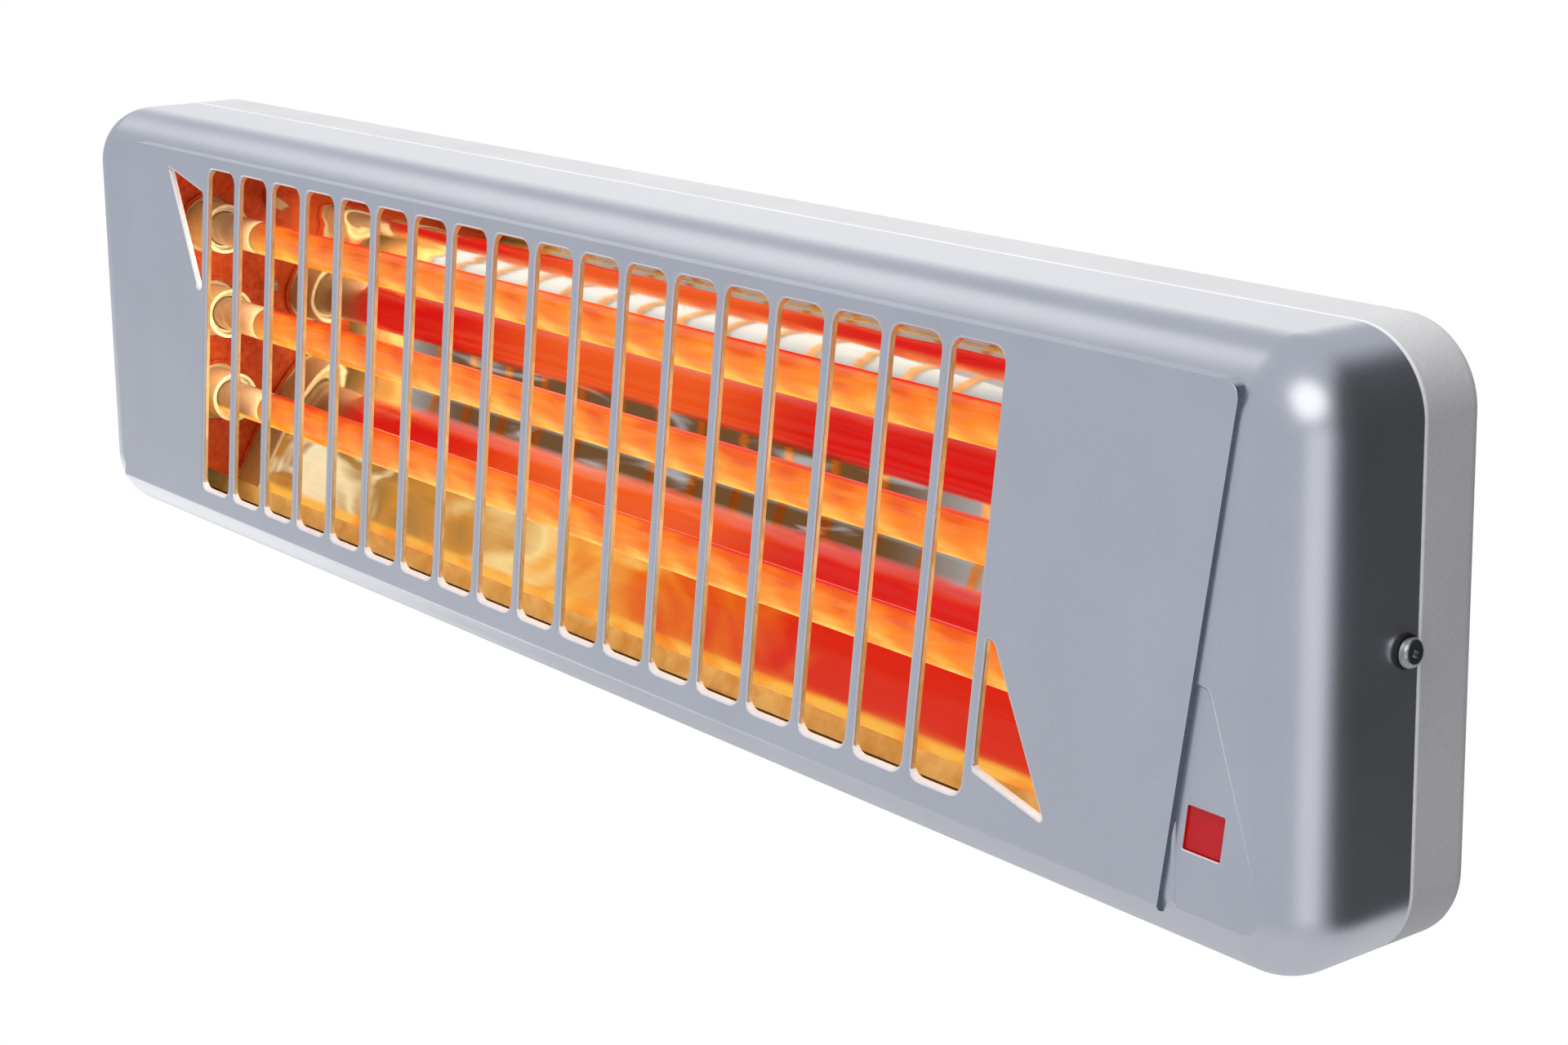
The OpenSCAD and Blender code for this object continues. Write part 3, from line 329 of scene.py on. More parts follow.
def makeQuartz(name, centre, underglow=False):
    # milky quartz over a glowing winding: orange toward the front with cloudy streaks, deeper red behind,
    # and smoky clear ends where nothing glows
    g = glow
    material, tree, shader = newMaterial(name)
    coords = objectCoords(tree)
    own = addNode(tree, "ShaderNodeMapping", {"Vector": coords}, in_Location=[-c for c in centre])
    parts = addNode(tree, "ShaderNodeSeparateXYZ", {0: own.outputs[0]})
    r = g["radius"] * mm
    up = addNode(tree, "ShaderNodeMath", {0: parts.outputs["Z"]}, operation="DIVIDE", in_1=r)
    back = addNode(tree, "ShaderNodeMath", {0: parts.outputs["Y"]}, operation="DIVIDE", in_1=r)
    slanted = addNode(tree, "ShaderNodeMapping", {"Vector": own.outputs[0]}, in_Rotation=(0, 0.35, 0),
                      in_Scale=g["cloudScale"])
    cloud = addNode(tree, "ShaderNodeTexNoise", {"Vector": slanted.outputs[0]}, in_Scale=1.0, in_Detail=2.5,
                    in_Distortion=1.4)
    drift = addNode(tree, "ShaderNodeMapRange", {0: cloud.outputs[0]}, in_1=0.3, in_2=0.7,
                    in_3=-0.55, in_4=0.55)
    # painted reflection: the grille's bars mirrored in the glass, drawn into its glow as leaning fingers, one
    # to each slot
    lean = addNode(tree, "ShaderNodeMapping", {"Vector": own.outputs[0]}, in_Rotation=(0, 0.9, 0))
    fingers = addNode(tree, "ShaderNodeTexWave", {"Vector": lean.outputs[0]},
                      in_Scale=math.pi / (10 * g["finger"] * mm), in_Distortion=1.6, in_Detail=1.0)
    swell = addNode(tree, "ShaderNodeMapRange", {0: fingers.outputs[1]}, in_3=-0.28, in_4=0.28)
    cloudy = addNode(tree, "ShaderNodeMath", {0: drift.outputs[0], 1: swell.outputs[0]}, operation="ADD")
    height = addNode(tree, "ShaderNodeMath", {0: up.outputs[0], 1: cloudy.outputs[0]}, operation="ADD")
    place = addNode(tree, "ShaderNodeMapRange", {0: height.outputs[0]}, in_1=-1.0, in_2=1.15)
    front = addNode(tree, "ShaderNodeValToRGB", {0: place.outputs[0]})
    fillRamp(front.color_ramp, g["front"])
    rear = addNode(tree, "ShaderNodeMix", {0: cloud.outputs[0]}, data_type="RGBA",
                   in_6=linearColour(g["rear"][0]), in_7=linearColour(g["rear"][1]))
    # hottest behind the middle, where its mirror image runs to orange
    near, far = g["hottestHalf"]
    fromHot = addNode(tree, "ShaderNodeMath", {0: parts.outputs["X"]}, operation="SUBTRACT",
                      in_1=g["hottestAt"] * mm)
    offMiddle = addNode(tree, "ShaderNodeMath", {0: fromHot.outputs[0]}, operation="ABSOLUTE")
    hot = addNode(tree, "ShaderNodeMapRange", {0: offMiddle.outputs[0]}, interpolation_type="SMOOTHSTEP",
                  in_1=near * mm, in_2=far * mm, in_3=0.8, in_4=0.0)
    rear = addNode(tree, "ShaderNodeMix", {0: hot.outputs[0], 6: rear.outputs[2]}, data_type="RGBA",
                   in_7=linearColour(g["hottest"]))
    if underglow:  # the bottom tube's underside runs from cream at the left to red at the right, with a painted glare
        along = addNode(tree, "ShaderNodeMapRange", {0: parts.outputs["X"]}, in_1=-g["underHalf"] * mm,
                        in_2=g["underHalf"] * mm)
        wander = addNode(tree, "ShaderNodeMath", {0: drift.outputs[0]}, operation="MULTIPLY", in_1=0.16)
        spot = addNode(tree, "ShaderNodeMath", {0: along.outputs[0], 1: wander.outputs[0]}, operation="ADD")
        under = addNode(tree, "ShaderNodeValToRGB", {0: spot.outputs[0]})
        fillRamp(under.color_ramp, g["under"])
        below = addNode(tree, "ShaderNodeMapRange", {0: up.outputs[0]}, in_1=-0.35, in_2=-0.6)
        rear = addNode(tree, "ShaderNodeMix", {0: below.outputs[0], 6: rear.outputs[2], 7: under.outputs[0]},
                       data_type="RGBA")
    behind = addNode(tree, "ShaderNodeMapRange", {0: back.outputs[0]}, interpolation_type="SMOOTHSTEP",
                     in_1=-0.35, in_2=0.1)
    lit = addNode(tree, "ShaderNodeMix", {0: behind.outputs[0], 6: front.outputs[0], 7: rear.outputs[2]},
                  data_type="RGBA")
    away = addNode(tree, "ShaderNodeMath", {0: parts.outputs["X"]}, operation="ABSOLUTE")
    end = addNode(tree, "ShaderNodeMapRange", {0: away.outputs[0]}, interpolation_type="SMOOTHSTEP",
                  in_1=g["lit"][0] * mm, in_2=g["lit"][1] * mm)
    if underglow:
        above = addNode(tree, "ShaderNodeMath", {1: below.outputs[0]}, operation="SUBTRACT", in_0=1.0)
        end = addNode(tree, "ShaderNodeMath", {0: end.outputs[0], 1: above.outputs[0]},
                      operation="MULTIPLY")
    shade = addNode(tree, "ShaderNodeMix", {0: end.outputs[0], 6: lit.outputs[2]}, data_type="RGBA",
                    in_7=linearColour(g["dead"]))
    tree.links.new(shade.outputs[2], shader.inputs["Emission Color"])
    shader.inputs["Emission Strength"].default_value = g["strength"]
    body = addNode(tree, "ShaderNodeMix", {0: end.outputs[0]}, data_type="RGBA",
                   in_6=linearColour(g["glass"][0]), in_7=linearColour(g["glass"][1]))
    tree.links.new(body.outputs[2], shader.inputs["Base Color"])
    gloss = addNode(tree, "ShaderNodeMapRange", {0: cloud.outputs[0]}, in_3=g["roughness"][0],
                    in_4=g["roughness"][1])
    tree.links.new(gloss.outputs[0], shader.inputs["Roughness"])
    shader.inputs["IOR"].default_value = g["index"]
    return material


finishes = {
    "satin_silver": makeSatinSilver(),
    # the same steel inside, unpainted: dull gold with cloudy patches, a painted glow standing for the tubes'
    # light on it
    "inside": grainedMaterial("glowPaintedSteel", "#dcae62", "#f6dca0", 5.0, 0.1, (0.4, 0.6), 0.03, patch=25),
    # a painted highlight along edges that face up and on the rim at the seam: smooth and pale
    "edge": grainedMaterial("highlightPaintedLacquer", "#f4f4f6", "#ffffff", 0.8, 0.0, (0.28, 0.36), 0.01),
    # painted shade down the crease beside the field: the same lacquer, darker and duller, a dark drawn line
    "crease": grainedMaterial("shadePaintedLacquer", "#5f6773", "#747c89", 0.8, 0.6, (0.4, 0.5), 0.01),
    "polished_aluminium": makePolishedAluminium(),
    # the same aluminium, matt, coloured with a painted reflection: the red of the tubes that it mirrors
    "paintedReflectionPlate": grainedMaterial("reflectionPaintedAluminium", "#b43c1c", "#dc6430", 2.0, 0.4, (0.3, 0.42), 0.03, patch=18),
    # powder coat, sprayed and baked: even warm light grey with a faint orange peel
    "light_grey_paint": grainedMaterial("powderCoat", "#d2d1d0", "#dcdbda", 1.1, 0.0, (0.42, 0.5), 0.04),
    # glassy red enamel on a stamped plate: deep, even red with a soft gloss
    "red_badge": grainedMaterial("redEnamel", "#d8000e", "#ee0a18", 0.8, 0.0, (0.2, 0.27), 0.01),
    # coiled resistance wire, oxidised by the heat: a dull red brown
    "heating_alloy": grainedMaterial("resistanceAlloy", "#6b3420", "#a2542e", 1.0, 0.8, (0.4, 0.6), 0.05),
    # fired steatite, slip cast and left unglazed: cream and matt, with a fine tan mottle
    "steatite": grainedMaterial("firedSteatite", "#e6d2a4", "#f6eccd", 1.3, 0.0, (0.4, 0.55), 0.03, patch=9),
    # cold-headed stainless steel: neutral and bright, with the faint grain of its tools
    "stainless_steel": grainedMaterial("stainlessSteel", "#a4a6a8", "#cfd1d2", 0.5, 1.0, (0.16, 0.26), 0.01),
    # bright zinc plate on cold-rolled steel: bluish, with cloudy crystals
    "zinc_steel": grainedMaterial("zincPlatedSteel", "#a9adb1", "#c7cacc", 2.2, 1.0, (0.28, 0.4), 0.02),
    # vulcanised fibre, punched: near black and dry, with a felted grain
    "dark_fibre": grainedMaterial("vulcanisedFibre", "#1a1918", "#2b2927", 0.6, 0.0, (0.6, 0.75), 0.05),
    # rolled brass strip: yellow metal with fine rolling lines along x
    "brass_strip": grainedMaterial("rolledBrass", "#b08a3e", "#d3b062", 0.5, 1.0, (0.28, 0.38), 0.01,
                                   stretch=(0.08, 1, 1)),
    # heat-resistant phenolic, moulded: warm white with a slight flow mottle
    "moulded_white": grainedMaterial("phenolicMoulding", "#d8d5cc", "#e9e6de", 2.5, 0.0, (0.4, 0.5), 0.03),
    # silicone wire cover, extruded: rubbery, dull and faintly streaked
    "brown_silicone": grainedMaterial("brownSilicone", "#3c2314", "#52311d", 0.9, 0.0, (0.5, 0.65), 0.03),
    "blue_silicone": grainedMaterial("blueSilicone", "#23509c", "#3163b2", 0.9, 0.0, (0.5, 0.65), 0.03),
    # glass-filled nylon, moulded: mid grey with a fine spark-eroded texture
    "grey_nylon": grainedMaterial("nylonMoulding", "#6c6f72", "#7c7f82", 0.7, 0.0, (0.42, 0.55), 0.05),
    # moulded nitrile rubber: near black and matt
    "black_rubber": grainedMaterial("nitrileRubber", "#161616", "#242424", 0.8, 0.0, (0.6, 0.75), 0.04),
}


def makeEarthSilicone():
    # silicone earth wire cover, extruded in green with a yellow stripe that winds slowly round it
    material, tree, shader = newMaterial("stripedSilicone")
    slope = addNode(tree, "ShaderNodeMapping", {"Vector": objectCoords(tree)}, in_Rotation=(0.6, 0.4, 0.7))
    bands = addNode(tree, "ShaderNodeTexWave", {"Vector": slope.outputs[0]}, in_Scale=10.0,
                    in_Distortion=0.4)  # a stripe every 31 mm
    edge = addNode(tree, "ShaderNodeMapRange", {0: bands.outputs[1]}, in_1=0.45, in_2=0.55)
    colour = addNode(tree, "ShaderNodeMix", {0: edge.outputs[0]}, data_type="RGBA",
                     in_6=linearColour("#2f7a35"), in_7=linearColour("#d8c832"))
    tree.links.new(colour.outputs[2], shader.inputs["Base Color"])
    dull = addNode(tree, "ShaderNodeTexNoise", {"Vector": slope.outputs[0]}, in_Scale=1 / (0.9 * mm))
    gloss = addNode(tree, "ShaderNodeMapRange", {0: dull.outputs[0]}, in_3=0.5, in_4=0.65)
    tree.links.new(gloss.outputs[0], shader.inputs["Roughness"])
    return material


finishes["green_yellow_silicone"] = makeEarthSilicone()

for part in frame["record"]["subparts"]:
    # the end plates take the painted red reflection in place of their own finish
    look = "paintedReflectionPlate" if part["node"].endswith("_end_plate") else part["material_slot"]
    if look in finishes:
        node = frame["nodes"][part["node"]]
        node.data.materials.clear()
        node.data.materials.append(finishes[look])
print("materials")


# shapes that several pieces use, drawn in millimetres

slack = 0.02  # how far a cutter stands proud of the face that it cuts


def vertsOf(made):
    return [v for v in made["geom"] if isinstance(v, bmesh.types.BMVert)]


def uprights(bm):
    return [e for e in bm.edges if abs(e.verts[0].co.z - e.verts[1].co.z) > 0.01]


def edgesAt(bm, level):
    return [e for e in bm.edges if all(abs(v.co.z - level) < 0.001 for v in e.verts)]


def roundOff(bm, edges, radius, segments):
    bmesh.ops.bevel(bm, geom=edges, offset=radius, offset_type="OFFSET", affect="EDGES", segments=segments,
                    profile=0.5, material=-1)


def makeMesh(bm, name):
    bmesh.ops.recalc_face_normals(bm, faces=bm.faces)
    mesh = bpy.data.meshes.new(name)
    bm.to_mesh(mesh)
    bm.free()
    return mesh


def joinInto(bm, other):
    mesh = makeMesh(other, "loose")
    bm.from_mesh(mesh)
    bpy.data.meshes.remove(mesh)


def rolledBlock(width, height, low, high, corner, roll=0, steps=0, backRoll=0):
    # a block with rounded corners, rolled over round its front and, if asked, round its back
    bm = bmesh.new()
    bmesh.ops.create_cube(bm, size=1, matrix=Matrix.LocRotScale(
        (0, 0, (low + high) / 2), None, (width, height, high - low)))
    roundOff(bm, uprights(bm), corner, 20)
    for level, radius, count in ((high, roll, steps), (low, backRoll, 6)):
        if radius:
            roundOff(bm, edgesAt(bm, level), radius, count)
    return bm


def makePrism(corners, low, high, corner=0.0, grow=0.0, flare=0.0, spread=1.0, dome=0.0):
    # a block over an outline, with rounded corners and a mouth that flares or an edge that rounds off
    bm = bmesh.new()
    outline = bm.faces.new([bm.verts.new((x, y, low)) for x, y in corners])
    outline.normal_update()
    if grow:
        ring = bmesh.ops.inset_individual(bm, faces=[outline], thickness=-grow, use_even_offset=True)
        bmesh.ops.delete(bm, geom=ring["faces"], context="FACES")
    raised = bmesh.ops.extrude_face_region(bm, geom=bm.faces[:])
    bmesh.ops.translate(bm, vec=(0, 0, high - flare - low), verts=vertsOf(raised))
    if corner:
        roundOff(bm, uprights(bm), corner + grow, 6)
    bmesh.ops.recalc_face_normals(bm, faces=bm.faces)
    bm.normal_update()
    if dome:
        roundOff(bm, edgesAt(bm, high), dome, 3)
    if flare:  # the mouth widens round a quarter turn, and then goes on straight, clear of the sheet
        mouth = max(bm.faces, key=lambda f: f.calc_center_median().z)
        steps, clear = 5, 3
        for k in range(steps):
            a, b = math.pi / 2 * k / steps, math.pi / 2 * (k + 1) / steps
            bmesh.ops.inset_individual(bm, faces=[mouth], use_even_offset=True,
                                       thickness=-flare * spread * (math.cos(a) - math.cos(b)),
                                       depth=flare * (math.sin(b) - math.sin(a)))
        top = bmesh.ops.extrude_face_region(bm, geom=[mouth])
        bmesh.ops.translate(bm, vec=(0, 0, clear), verts=vertsOf(top))
        bmesh.ops.delete(bm, geom=[mouth], context="FACES")
    return bm


def leaning(x, y, width, height, lean):
    return [(x + sx * width / 2 + sy * lean * height / 2, y + sy * height / 2)
            for sx, sy in ((-1, -1), (1, -1), (1, 1), (-1, 1))]


def addRod(bm, radius, length, place, along="Z", segments=32):
    lay = {"X": Matrix.Rotation(math.radians(90), 4, "Y"), "Y": Matrix.Rotation(math.radians(90), 4, "X")}
    return bmesh.ops.create_cone(bm, cap_ends=True, segments=segments, radius1=radius, radius2=radius,
                                 depth=length, matrix=Matrix.Translation(place) @ lay.get(along, Matrix()))


def spinPiece(profile, segments, y, z, mirrorX=False):
    # a closed half section, as distance along x and radius, turned round an axis along x
    bm = bmesh.new()
    points = [bm.verts.new((x, 0, r)) for x, r in profile]
    edges = [bm.edges.new(pair) for pair in zip(points, points[1:] + points[:1])
             if max(v.co.z for v in pair) > 0]  # none along the axis itself
    bmesh.ops.spin(bm, geom=points + edges, axis=(1, 0, 0), cent=(0, 0, 0), angle=2 * math.pi,
                   steps=segments, use_merge=True)
    bmesh.ops.remove_doubles(bm, verts=bm.verts, dist=0.0001)
    if mirrorX:
        bmesh.ops.scale(bm, vec=(-1, 1, 1), verts=bm.verts)
    bmesh.ops.translate(bm, vec=(0, y, z), verts=bm.verts)
    return bm


def workObject(bm, name, finishCount=1):
    obj = bpy.data.objects.new(name, makeMesh(bm, name))
    for k in range(finishCount):  # open places for the finishes that a cut brings with it
        obj.data.materials.append(None)
    bpy.context.scene.collection.objects.link(obj)
    return obj


def paint(piece, looks, choose):
    # gives each face its finish, by the finish's place in the piece's list of looks
    for face in piece.data.polygons:
        face.material_index = looks.index(choose(face))


def combine(target, tool, operation):
    cut = target.modifiers.new("cut", "BOOLEAN")
    cut.object = tool
    cut.operation = operation
    cut.solver = "EXACT"
    old = target.data
    target.data = bpy.data.meshes.new_from_object(target.evaluated_get(bpy.context.evaluated_depsgraph_get()))
    target.modifiers.clear()
    bpy.data.meshes.remove(old)
    bpy.data.objects.remove(tool)


def finishPiece(piece, name, looks, nodes, sharp=35):
    # stands the piece up in metres, and gives it its shading, finishes and place on the heater;
    # edges that turn by more than sharp degrees stay crisp
    if isinstance(piece, bmesh.types.BMesh):
        piece = workObject(piece, name)
    piece.name = name
    mesh = piece.data
    mesh.name = name
    mesh.transform(standUp)
    mesh.shade_smooth()
    mesh.set_sharp_from_angle(angle=math.radians(sharp))
    for place, look in enumerate(looks):
        mesh.materials[place] = look
    soft = piece.modifiers.new("shading", "WEIGHTED_NORMAL")
    soft.keep_sharp = True
    soft.weight = 80  # large flat faces lead, so that they shade flat up to their edges
    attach(piece, "heater")
    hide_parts(*nodes)


# front cover

cover = {
    "width": 620, "height": 154, "corner": 21, "roll": 18, "sheet": 1.0,
    "seam": 67.5, "base": 104.8, "front": 106, "axis": 3.5,  # depths from the wall, and the tubes' height
    "fieldHalf": 277.6, "fieldTop": 64.6, "fieldFoot": -69, "footRound": 2.3, "fieldLean": 0.18,
    "fieldCorner": 5, "fieldEdge": 0.25, "fieldSunk": 8, "fieldTaper": 1.006,
    "slots": 18, "pitch": 23.5, "slotWidth": 19.9, "slotHeight": 120, "slotLean": 0.145, "slotCorner": 4,
    "shift": -6.5, "rim": 1.2, "lipDepth": 2.3, "lipSheet": 0.8,
    # end cut-outs: gap to the last slot, then how far down their tip, foot and far point are, and two widths
    "endGap": 3.6, "endTip": 15.6, "endFoot": 51, "endPoint": 57.6, "tipWidth": 2.8, "footWidth": 26,
    "endCorner": 1.2,
    "wedgeDepth": 0.5, "wedgeTop": -10, "wedgeFoot": -66.3, "wedgeWidth": 4, "wedgeLean": 0.35,
    "wedgeUnder": 6, "wedgeCorner": 1.5, "wedgeFlare": 0.5, "wedgeSpread": 2.6,
    "badgeX": 278.6, "badgeY": -42.1, "badgeWidth": 12, "badgeHeight": 11.5, "badgeCorner": 0.5,
    "screwDepth": 72, "screwHole": 2.25,
}
# the lacquer, the inside's painted glow, a painted highlight on edges and painted shade in the crease
coverLooks = ["satin_silver", "inside", "edge", "crease"]


def slotOutlines():
    c = cover
    middle = (c["slots"] - 1) / 2
    return [leaning(c["shift"] + (i - middle) * c["pitch"], c["axis"], c["slotWidth"], c["slotHeight"],
                    c["slotLean"]) for i in range(c["slots"])]


def endCutOut(side):
    # three-cornered, with a narrow tip; the left one is the right one turned half round
    c = cover
    lean, x = c["slotLean"], c["pitch"] * (c["slots"] - 1) / 2 + c["slotWidth"] / 2 + c["endGap"]
    foot, tip = x - lean * c["endFoot"], x - lean * c["endTip"]
    corners = [(foot, -c["endFoot"]), (foot + c["footWidth"], -c["endPoint"]),
               (tip + c["tipWidth"], -c["endTip"]), (tip, -c["endTip"])]
    return [(c["shift"] + side * px, c["axis"] + side * py) for px, py in corners]


def makeWedge():
    # cutter for the pressed wedge beside the raised field
    c = cover
    top, foot = c["wedgeTop"], c["wedgeFoot"]
    x = c["fieldHalf"] + c["fieldLean"] * top
    left, right = x - c["wedgeUnder"], x + c["wedgeWidth"]
    outline = [(left, foot), (right + c["wedgeLean"] * (top - foot), foot), (right, top), (left, top)]
    prism = makePrism([(px, py + c["axis"]) for px, py in outline], c["base"] - c["wedgeDepth"],
                      c["base"] + slack, c["wedgeCorner"], flare=c["wedgeFlare"], spread=c["wedgeSpread"])
    return workObject(prism, "wedge")


def makeField():
    # the raised field: a leaning panel whose foot rounds off into the rolled bottom edge
    c = cover
    half, lean, top, foot = c["fieldHalf"], c["fieldLean"], c["fieldTop"], c["fieldFoot"]
    outline = [(-half + lean * foot, foot), (half + lean * foot, foot), (half + lean * top, top),
               (-half + lean * top, top)]
    panel = makePrism([(px, py + c["axis"]) for px, py in outline], c["base"] - c["fieldSunk"], c["front"])
    bmesh.ops.scale(panel, vec=(c["fieldTaper"], 1, 1), verts=[v for v in panel.verts if v.co.z < c["base"]])
    roundOff(panel, [e for e in uprights(panel) if e.verts[0].co.y > 0], c["fieldCorner"], 8)
    sill = [e for e in edgesAt(panel, c["front"]) if all(v.co.y < 0 for v in e.verts)
            and abs(e.verts[0].co.y - e.verts[1].co.y) < 0.001]
    roundOff(panel, sill, c["footRound"], 5)
    aboveFoot = foot + c["axis"] + c["footRound"] + 1
    roundOff(panel, [e for e in edgesAt(panel, c["front"]) if max(v.co.y for v in e.verts) > aboveFoot],
             c["fieldEdge"], 4)
    panel = workObject(panel, "field", len(coverLooks))
    # painted shade on the field's side walls: the dark crease line
    paint(panel, coverLooks, lambda f: "crease" if abs(f.normal.x) > 0.8 else "satin_silver")
    return panel


def slotLook(face):
    # a painted highlight along the edges that face up, and the inside's painted glow on the straight side
    # walls
    if face.normal.y < -0.3:
        return "edge"
    return "inside" if abs(face.normal.z) < 0.1 and abs(face.normal.x) > 0.8 else "satin_silver"


def makeFrontCover():
    c, s, count = cover, cover["sheet"], len(coverLooks)
    shell = workObject(rolledBlock(c["width"], c["height"], c["seam"], c["base"], c["corner"], c["roll"], 16),
                       "frontCover", count)
    combine(shell, makeWedge(), "DIFFERENCE")
    combine(shell, makeField(), "UNION")
    # the hollow, less the lips that turn in round each cut-out
    hollow = workObject(rolledBlock(c["width"] - 2 * s, c["height"] - 2 * s, c["seam"] - 5, c["base"] - s,
                                    c["corner"] - s, c["roll"] - s, 10), "hollow", count)
    lips, cuts = bmesh.new(), bmesh.new()
    outlines = [(outline, c["slotCorner"]) for outline in slotOutlines()]
    outlines += [(endCutOut(side), c["endCorner"]) for side in (-1, 1)]
    for outline, corner in outlines:
        joinInto(lips, makePrism(outline, c["front"] - c["lipDepth"], c["front"] + 1, corner,
                                 grow=c["lipSheet"]))
        joinInto(cuts, makePrism(outline, c["front"] - 20, c["front"] + slack, corner, flare=c["rim"]))
    combine(hollow, workObject(lips, "lips", count), "DIFFERENCE")
    # the inside takes the painted glow of the tubes
    paint(hollow, coverLooks, lambda f: "inside")
    combine(shell, hollow, "DIFFERENCE")
    cuts = workObject(cuts, "cuts", count)
    paint(cuts, coverLooks, slotLook)
    combine(shell, cuts, "DIFFERENCE")
    # the badge's window, whose foot has a painted highlight, and the holes for the end screws
    window = leaning(c["badgeX"], c["badgeY"], c["badgeWidth"], c["badgeHeight"], c["slotLean"])
    holes = makePrism(window, c["base"] - 6, c["base"] - c["wedgeDepth"] + slack, c["badgeCorner"], flare=0.5)
    screwHoles = bmesh.new()
    addRod(screwHoles, c["screwHole"], c["width"] + 20, (0, c["axis"], c["screwDepth"]), "X")
    joinInto(holes, screwHoles)
    holes = workObject(holes, "holes", count)
    paint(holes, coverLooks,
          lambda f: "edge" if f.normal.y < -0.6 and abs(f.center.x) < 300 else "satin_silver")
    combine(shell, holes, "DIFFERENCE")
    finishPiece(shell, "frontCoverSheet", [finishes[look] for look in coverLooks],
                ["front_cover"], 28)


makeFrontCover()
print("front cover")


# badge, left bare

badge = {"overlap": 1.3, "gap": 1.0, "thick": 0.6, "corner": 0.6, "dome": 0.25}


def makeBadge():
    c, b = cover, badge
    outline = leaning(c["badgeX"], c["badgeY"], c["badgeWidth"] + 2 * b["overlap"],
                      c["badgeHeight"] + 2 * b["overlap"], c["slotLean"])
    high = c["base"] - c["wedgeDepth"] - b["gap"]
    finishPiece(makePrism(outline, high - b["thick"], high, b["corner"], dome=b["dome"]), "badgeEnamel",
                [finishes["red_badge"]], ["badge_plate"])


makeBadge()
print("badge")


# rear housing

housing = {
    "back": 46, "front": 67, "sheet": 1.2, "backRoll": 4.5, "lip": 0.8,
    "flangeInset": 1.1, "flangeFront": 77.5,
    "screws": [(sx * 36, sy * 16) for sx in (-1, 1) for sy in (-1, 1)]
              + [(sx * 262, cover["axis"] + sy * 46.8) for sx in (-1, 1) for sy in (-1, 1)],
    "rivets": [(sx * 205, cover["axis"] + sy * 61.8) for sx in (-1, 1) for sy in (-1, 1)],
    "screwHole": 2.15, "rivetHole": 1.65,
    "glandX": -273, "glandDepth": 55.6, "glandHole": 6.1,
}
# the powder coat, and a painted highlight on the rim at the seam
housingLooks = ["light_grey_paint", "edge"]


def makeRearHousing():
    h, w, t, r = housing, cover["width"], cover["height"], cover["corner"]
    s, i = h["sheet"], h["flangeInset"]
    shell = workObject(rolledBlock(w, t, h["back"], h["front"], r, h["lip"], 3, backRoll=h["backRoll"]),
                       "housing", len(housingLooks))
    # the flange that slips inside the cover
    flange = rolledBlock(w - 2 * i, t - 2 * i, h["front"] - 3, h["flangeFront"], r - i)
    combine(shell, workObject(flange, "flange"), "UNION")
    hollow = rolledBlock(w - 2 * s, t - 2 * s, h["back"] + s, h["front"] - 1.5, r - s,
                         backRoll=h["backRoll"] - s)
    combine(shell, workObject(hollow, "hollow"), "DIFFERENCE")
    j = i + s
    mouth = rolledBlock(w - 2 * j, t - 2 * j, h["front"] - 4, h["flangeFront"] + 4, r - j)
    combine(shell, workObject(mouth, "mouth"), "DIFFERENCE")
    holes = bmesh.new()
    for places, radius in ((h["screws"], h["screwHole"]), (h["rivets"], h["rivetHole"])):
        for x, y in places:
            addRod(holes, radius, 6, (x, y, h["back"] + 1))
    combine(shell, workObject(holes, "holes"), "DIFFERENCE")
    # the cable gland's hole in the bottom, and the end screws' holes
    sides = bmesh.new()
    addRod(sides, h["glandHole"], 8, (h["glandX"], -t / 2, h["glandDepth"]), "Y", 48)
    addRod(sides, h["screwHole"], w + 20, (0, cover["axis"], cover["screwDepth"]), "X")
    combine(shell, workObject(sides, "sides"), "DIFFERENCE")
    low, high = h["front"] - h["lip"], h["front"] - 0.01  # a painted highlight, pale, on the rim at the seam
    paint(shell, housingLooks,
          lambda f: "edge" if low < f.center.z < high and f.normal.z > 0.2 else "light_grey_paint")
    finishPiece(shell, "rearHousingPan", [finishes[look] for look in housingLooks],
                ["rear_housing"], 28)


makeRearHousing()
print("rear housing")


# reflector

trough = {
    "half": 255, "floor": 61.3, "fold": 92, "foldHalf": 58.8, "flange": 7, "sheet": 0.6,
    "curve": 50, "steps": 56,
    # each side's steepest slope in degrees, how much of it rises evenly, and how late the rest comes
    "upper": (74, 0.3, 5), "lower": (66, 0, 1.9),
}


def troughSide(steepest, early, curl):
    # heights of a side of the trough, from its flat floor out to the fold and the flange
    t = trough
    way = [(n + 0.5) / t["steps"] for n in range(t["steps"])]
    slopes = [math.tan(math.radians(steepest * (early * w + (1 - early) * w ** curl))) for w in way]
    step = t["curve"] / t["steps"]
    left = t["fold"] - t["floor"] - step * sum(slopes)  # what the straight end still has to climb
    flat = t["foldHalf"] - t["curve"] - left / math.tan(math.radians(steepest))
    points, height = [(flat, t["floor"])], t["floor"]
    for n, slope in enumerate(slopes):
        height += step * slope
        points.append((flat + step * (n + 1), height))
    return points + [(t["foldHalf"], t["fold"]), (t["foldHalf"] + t["flange"], t["fold"])]


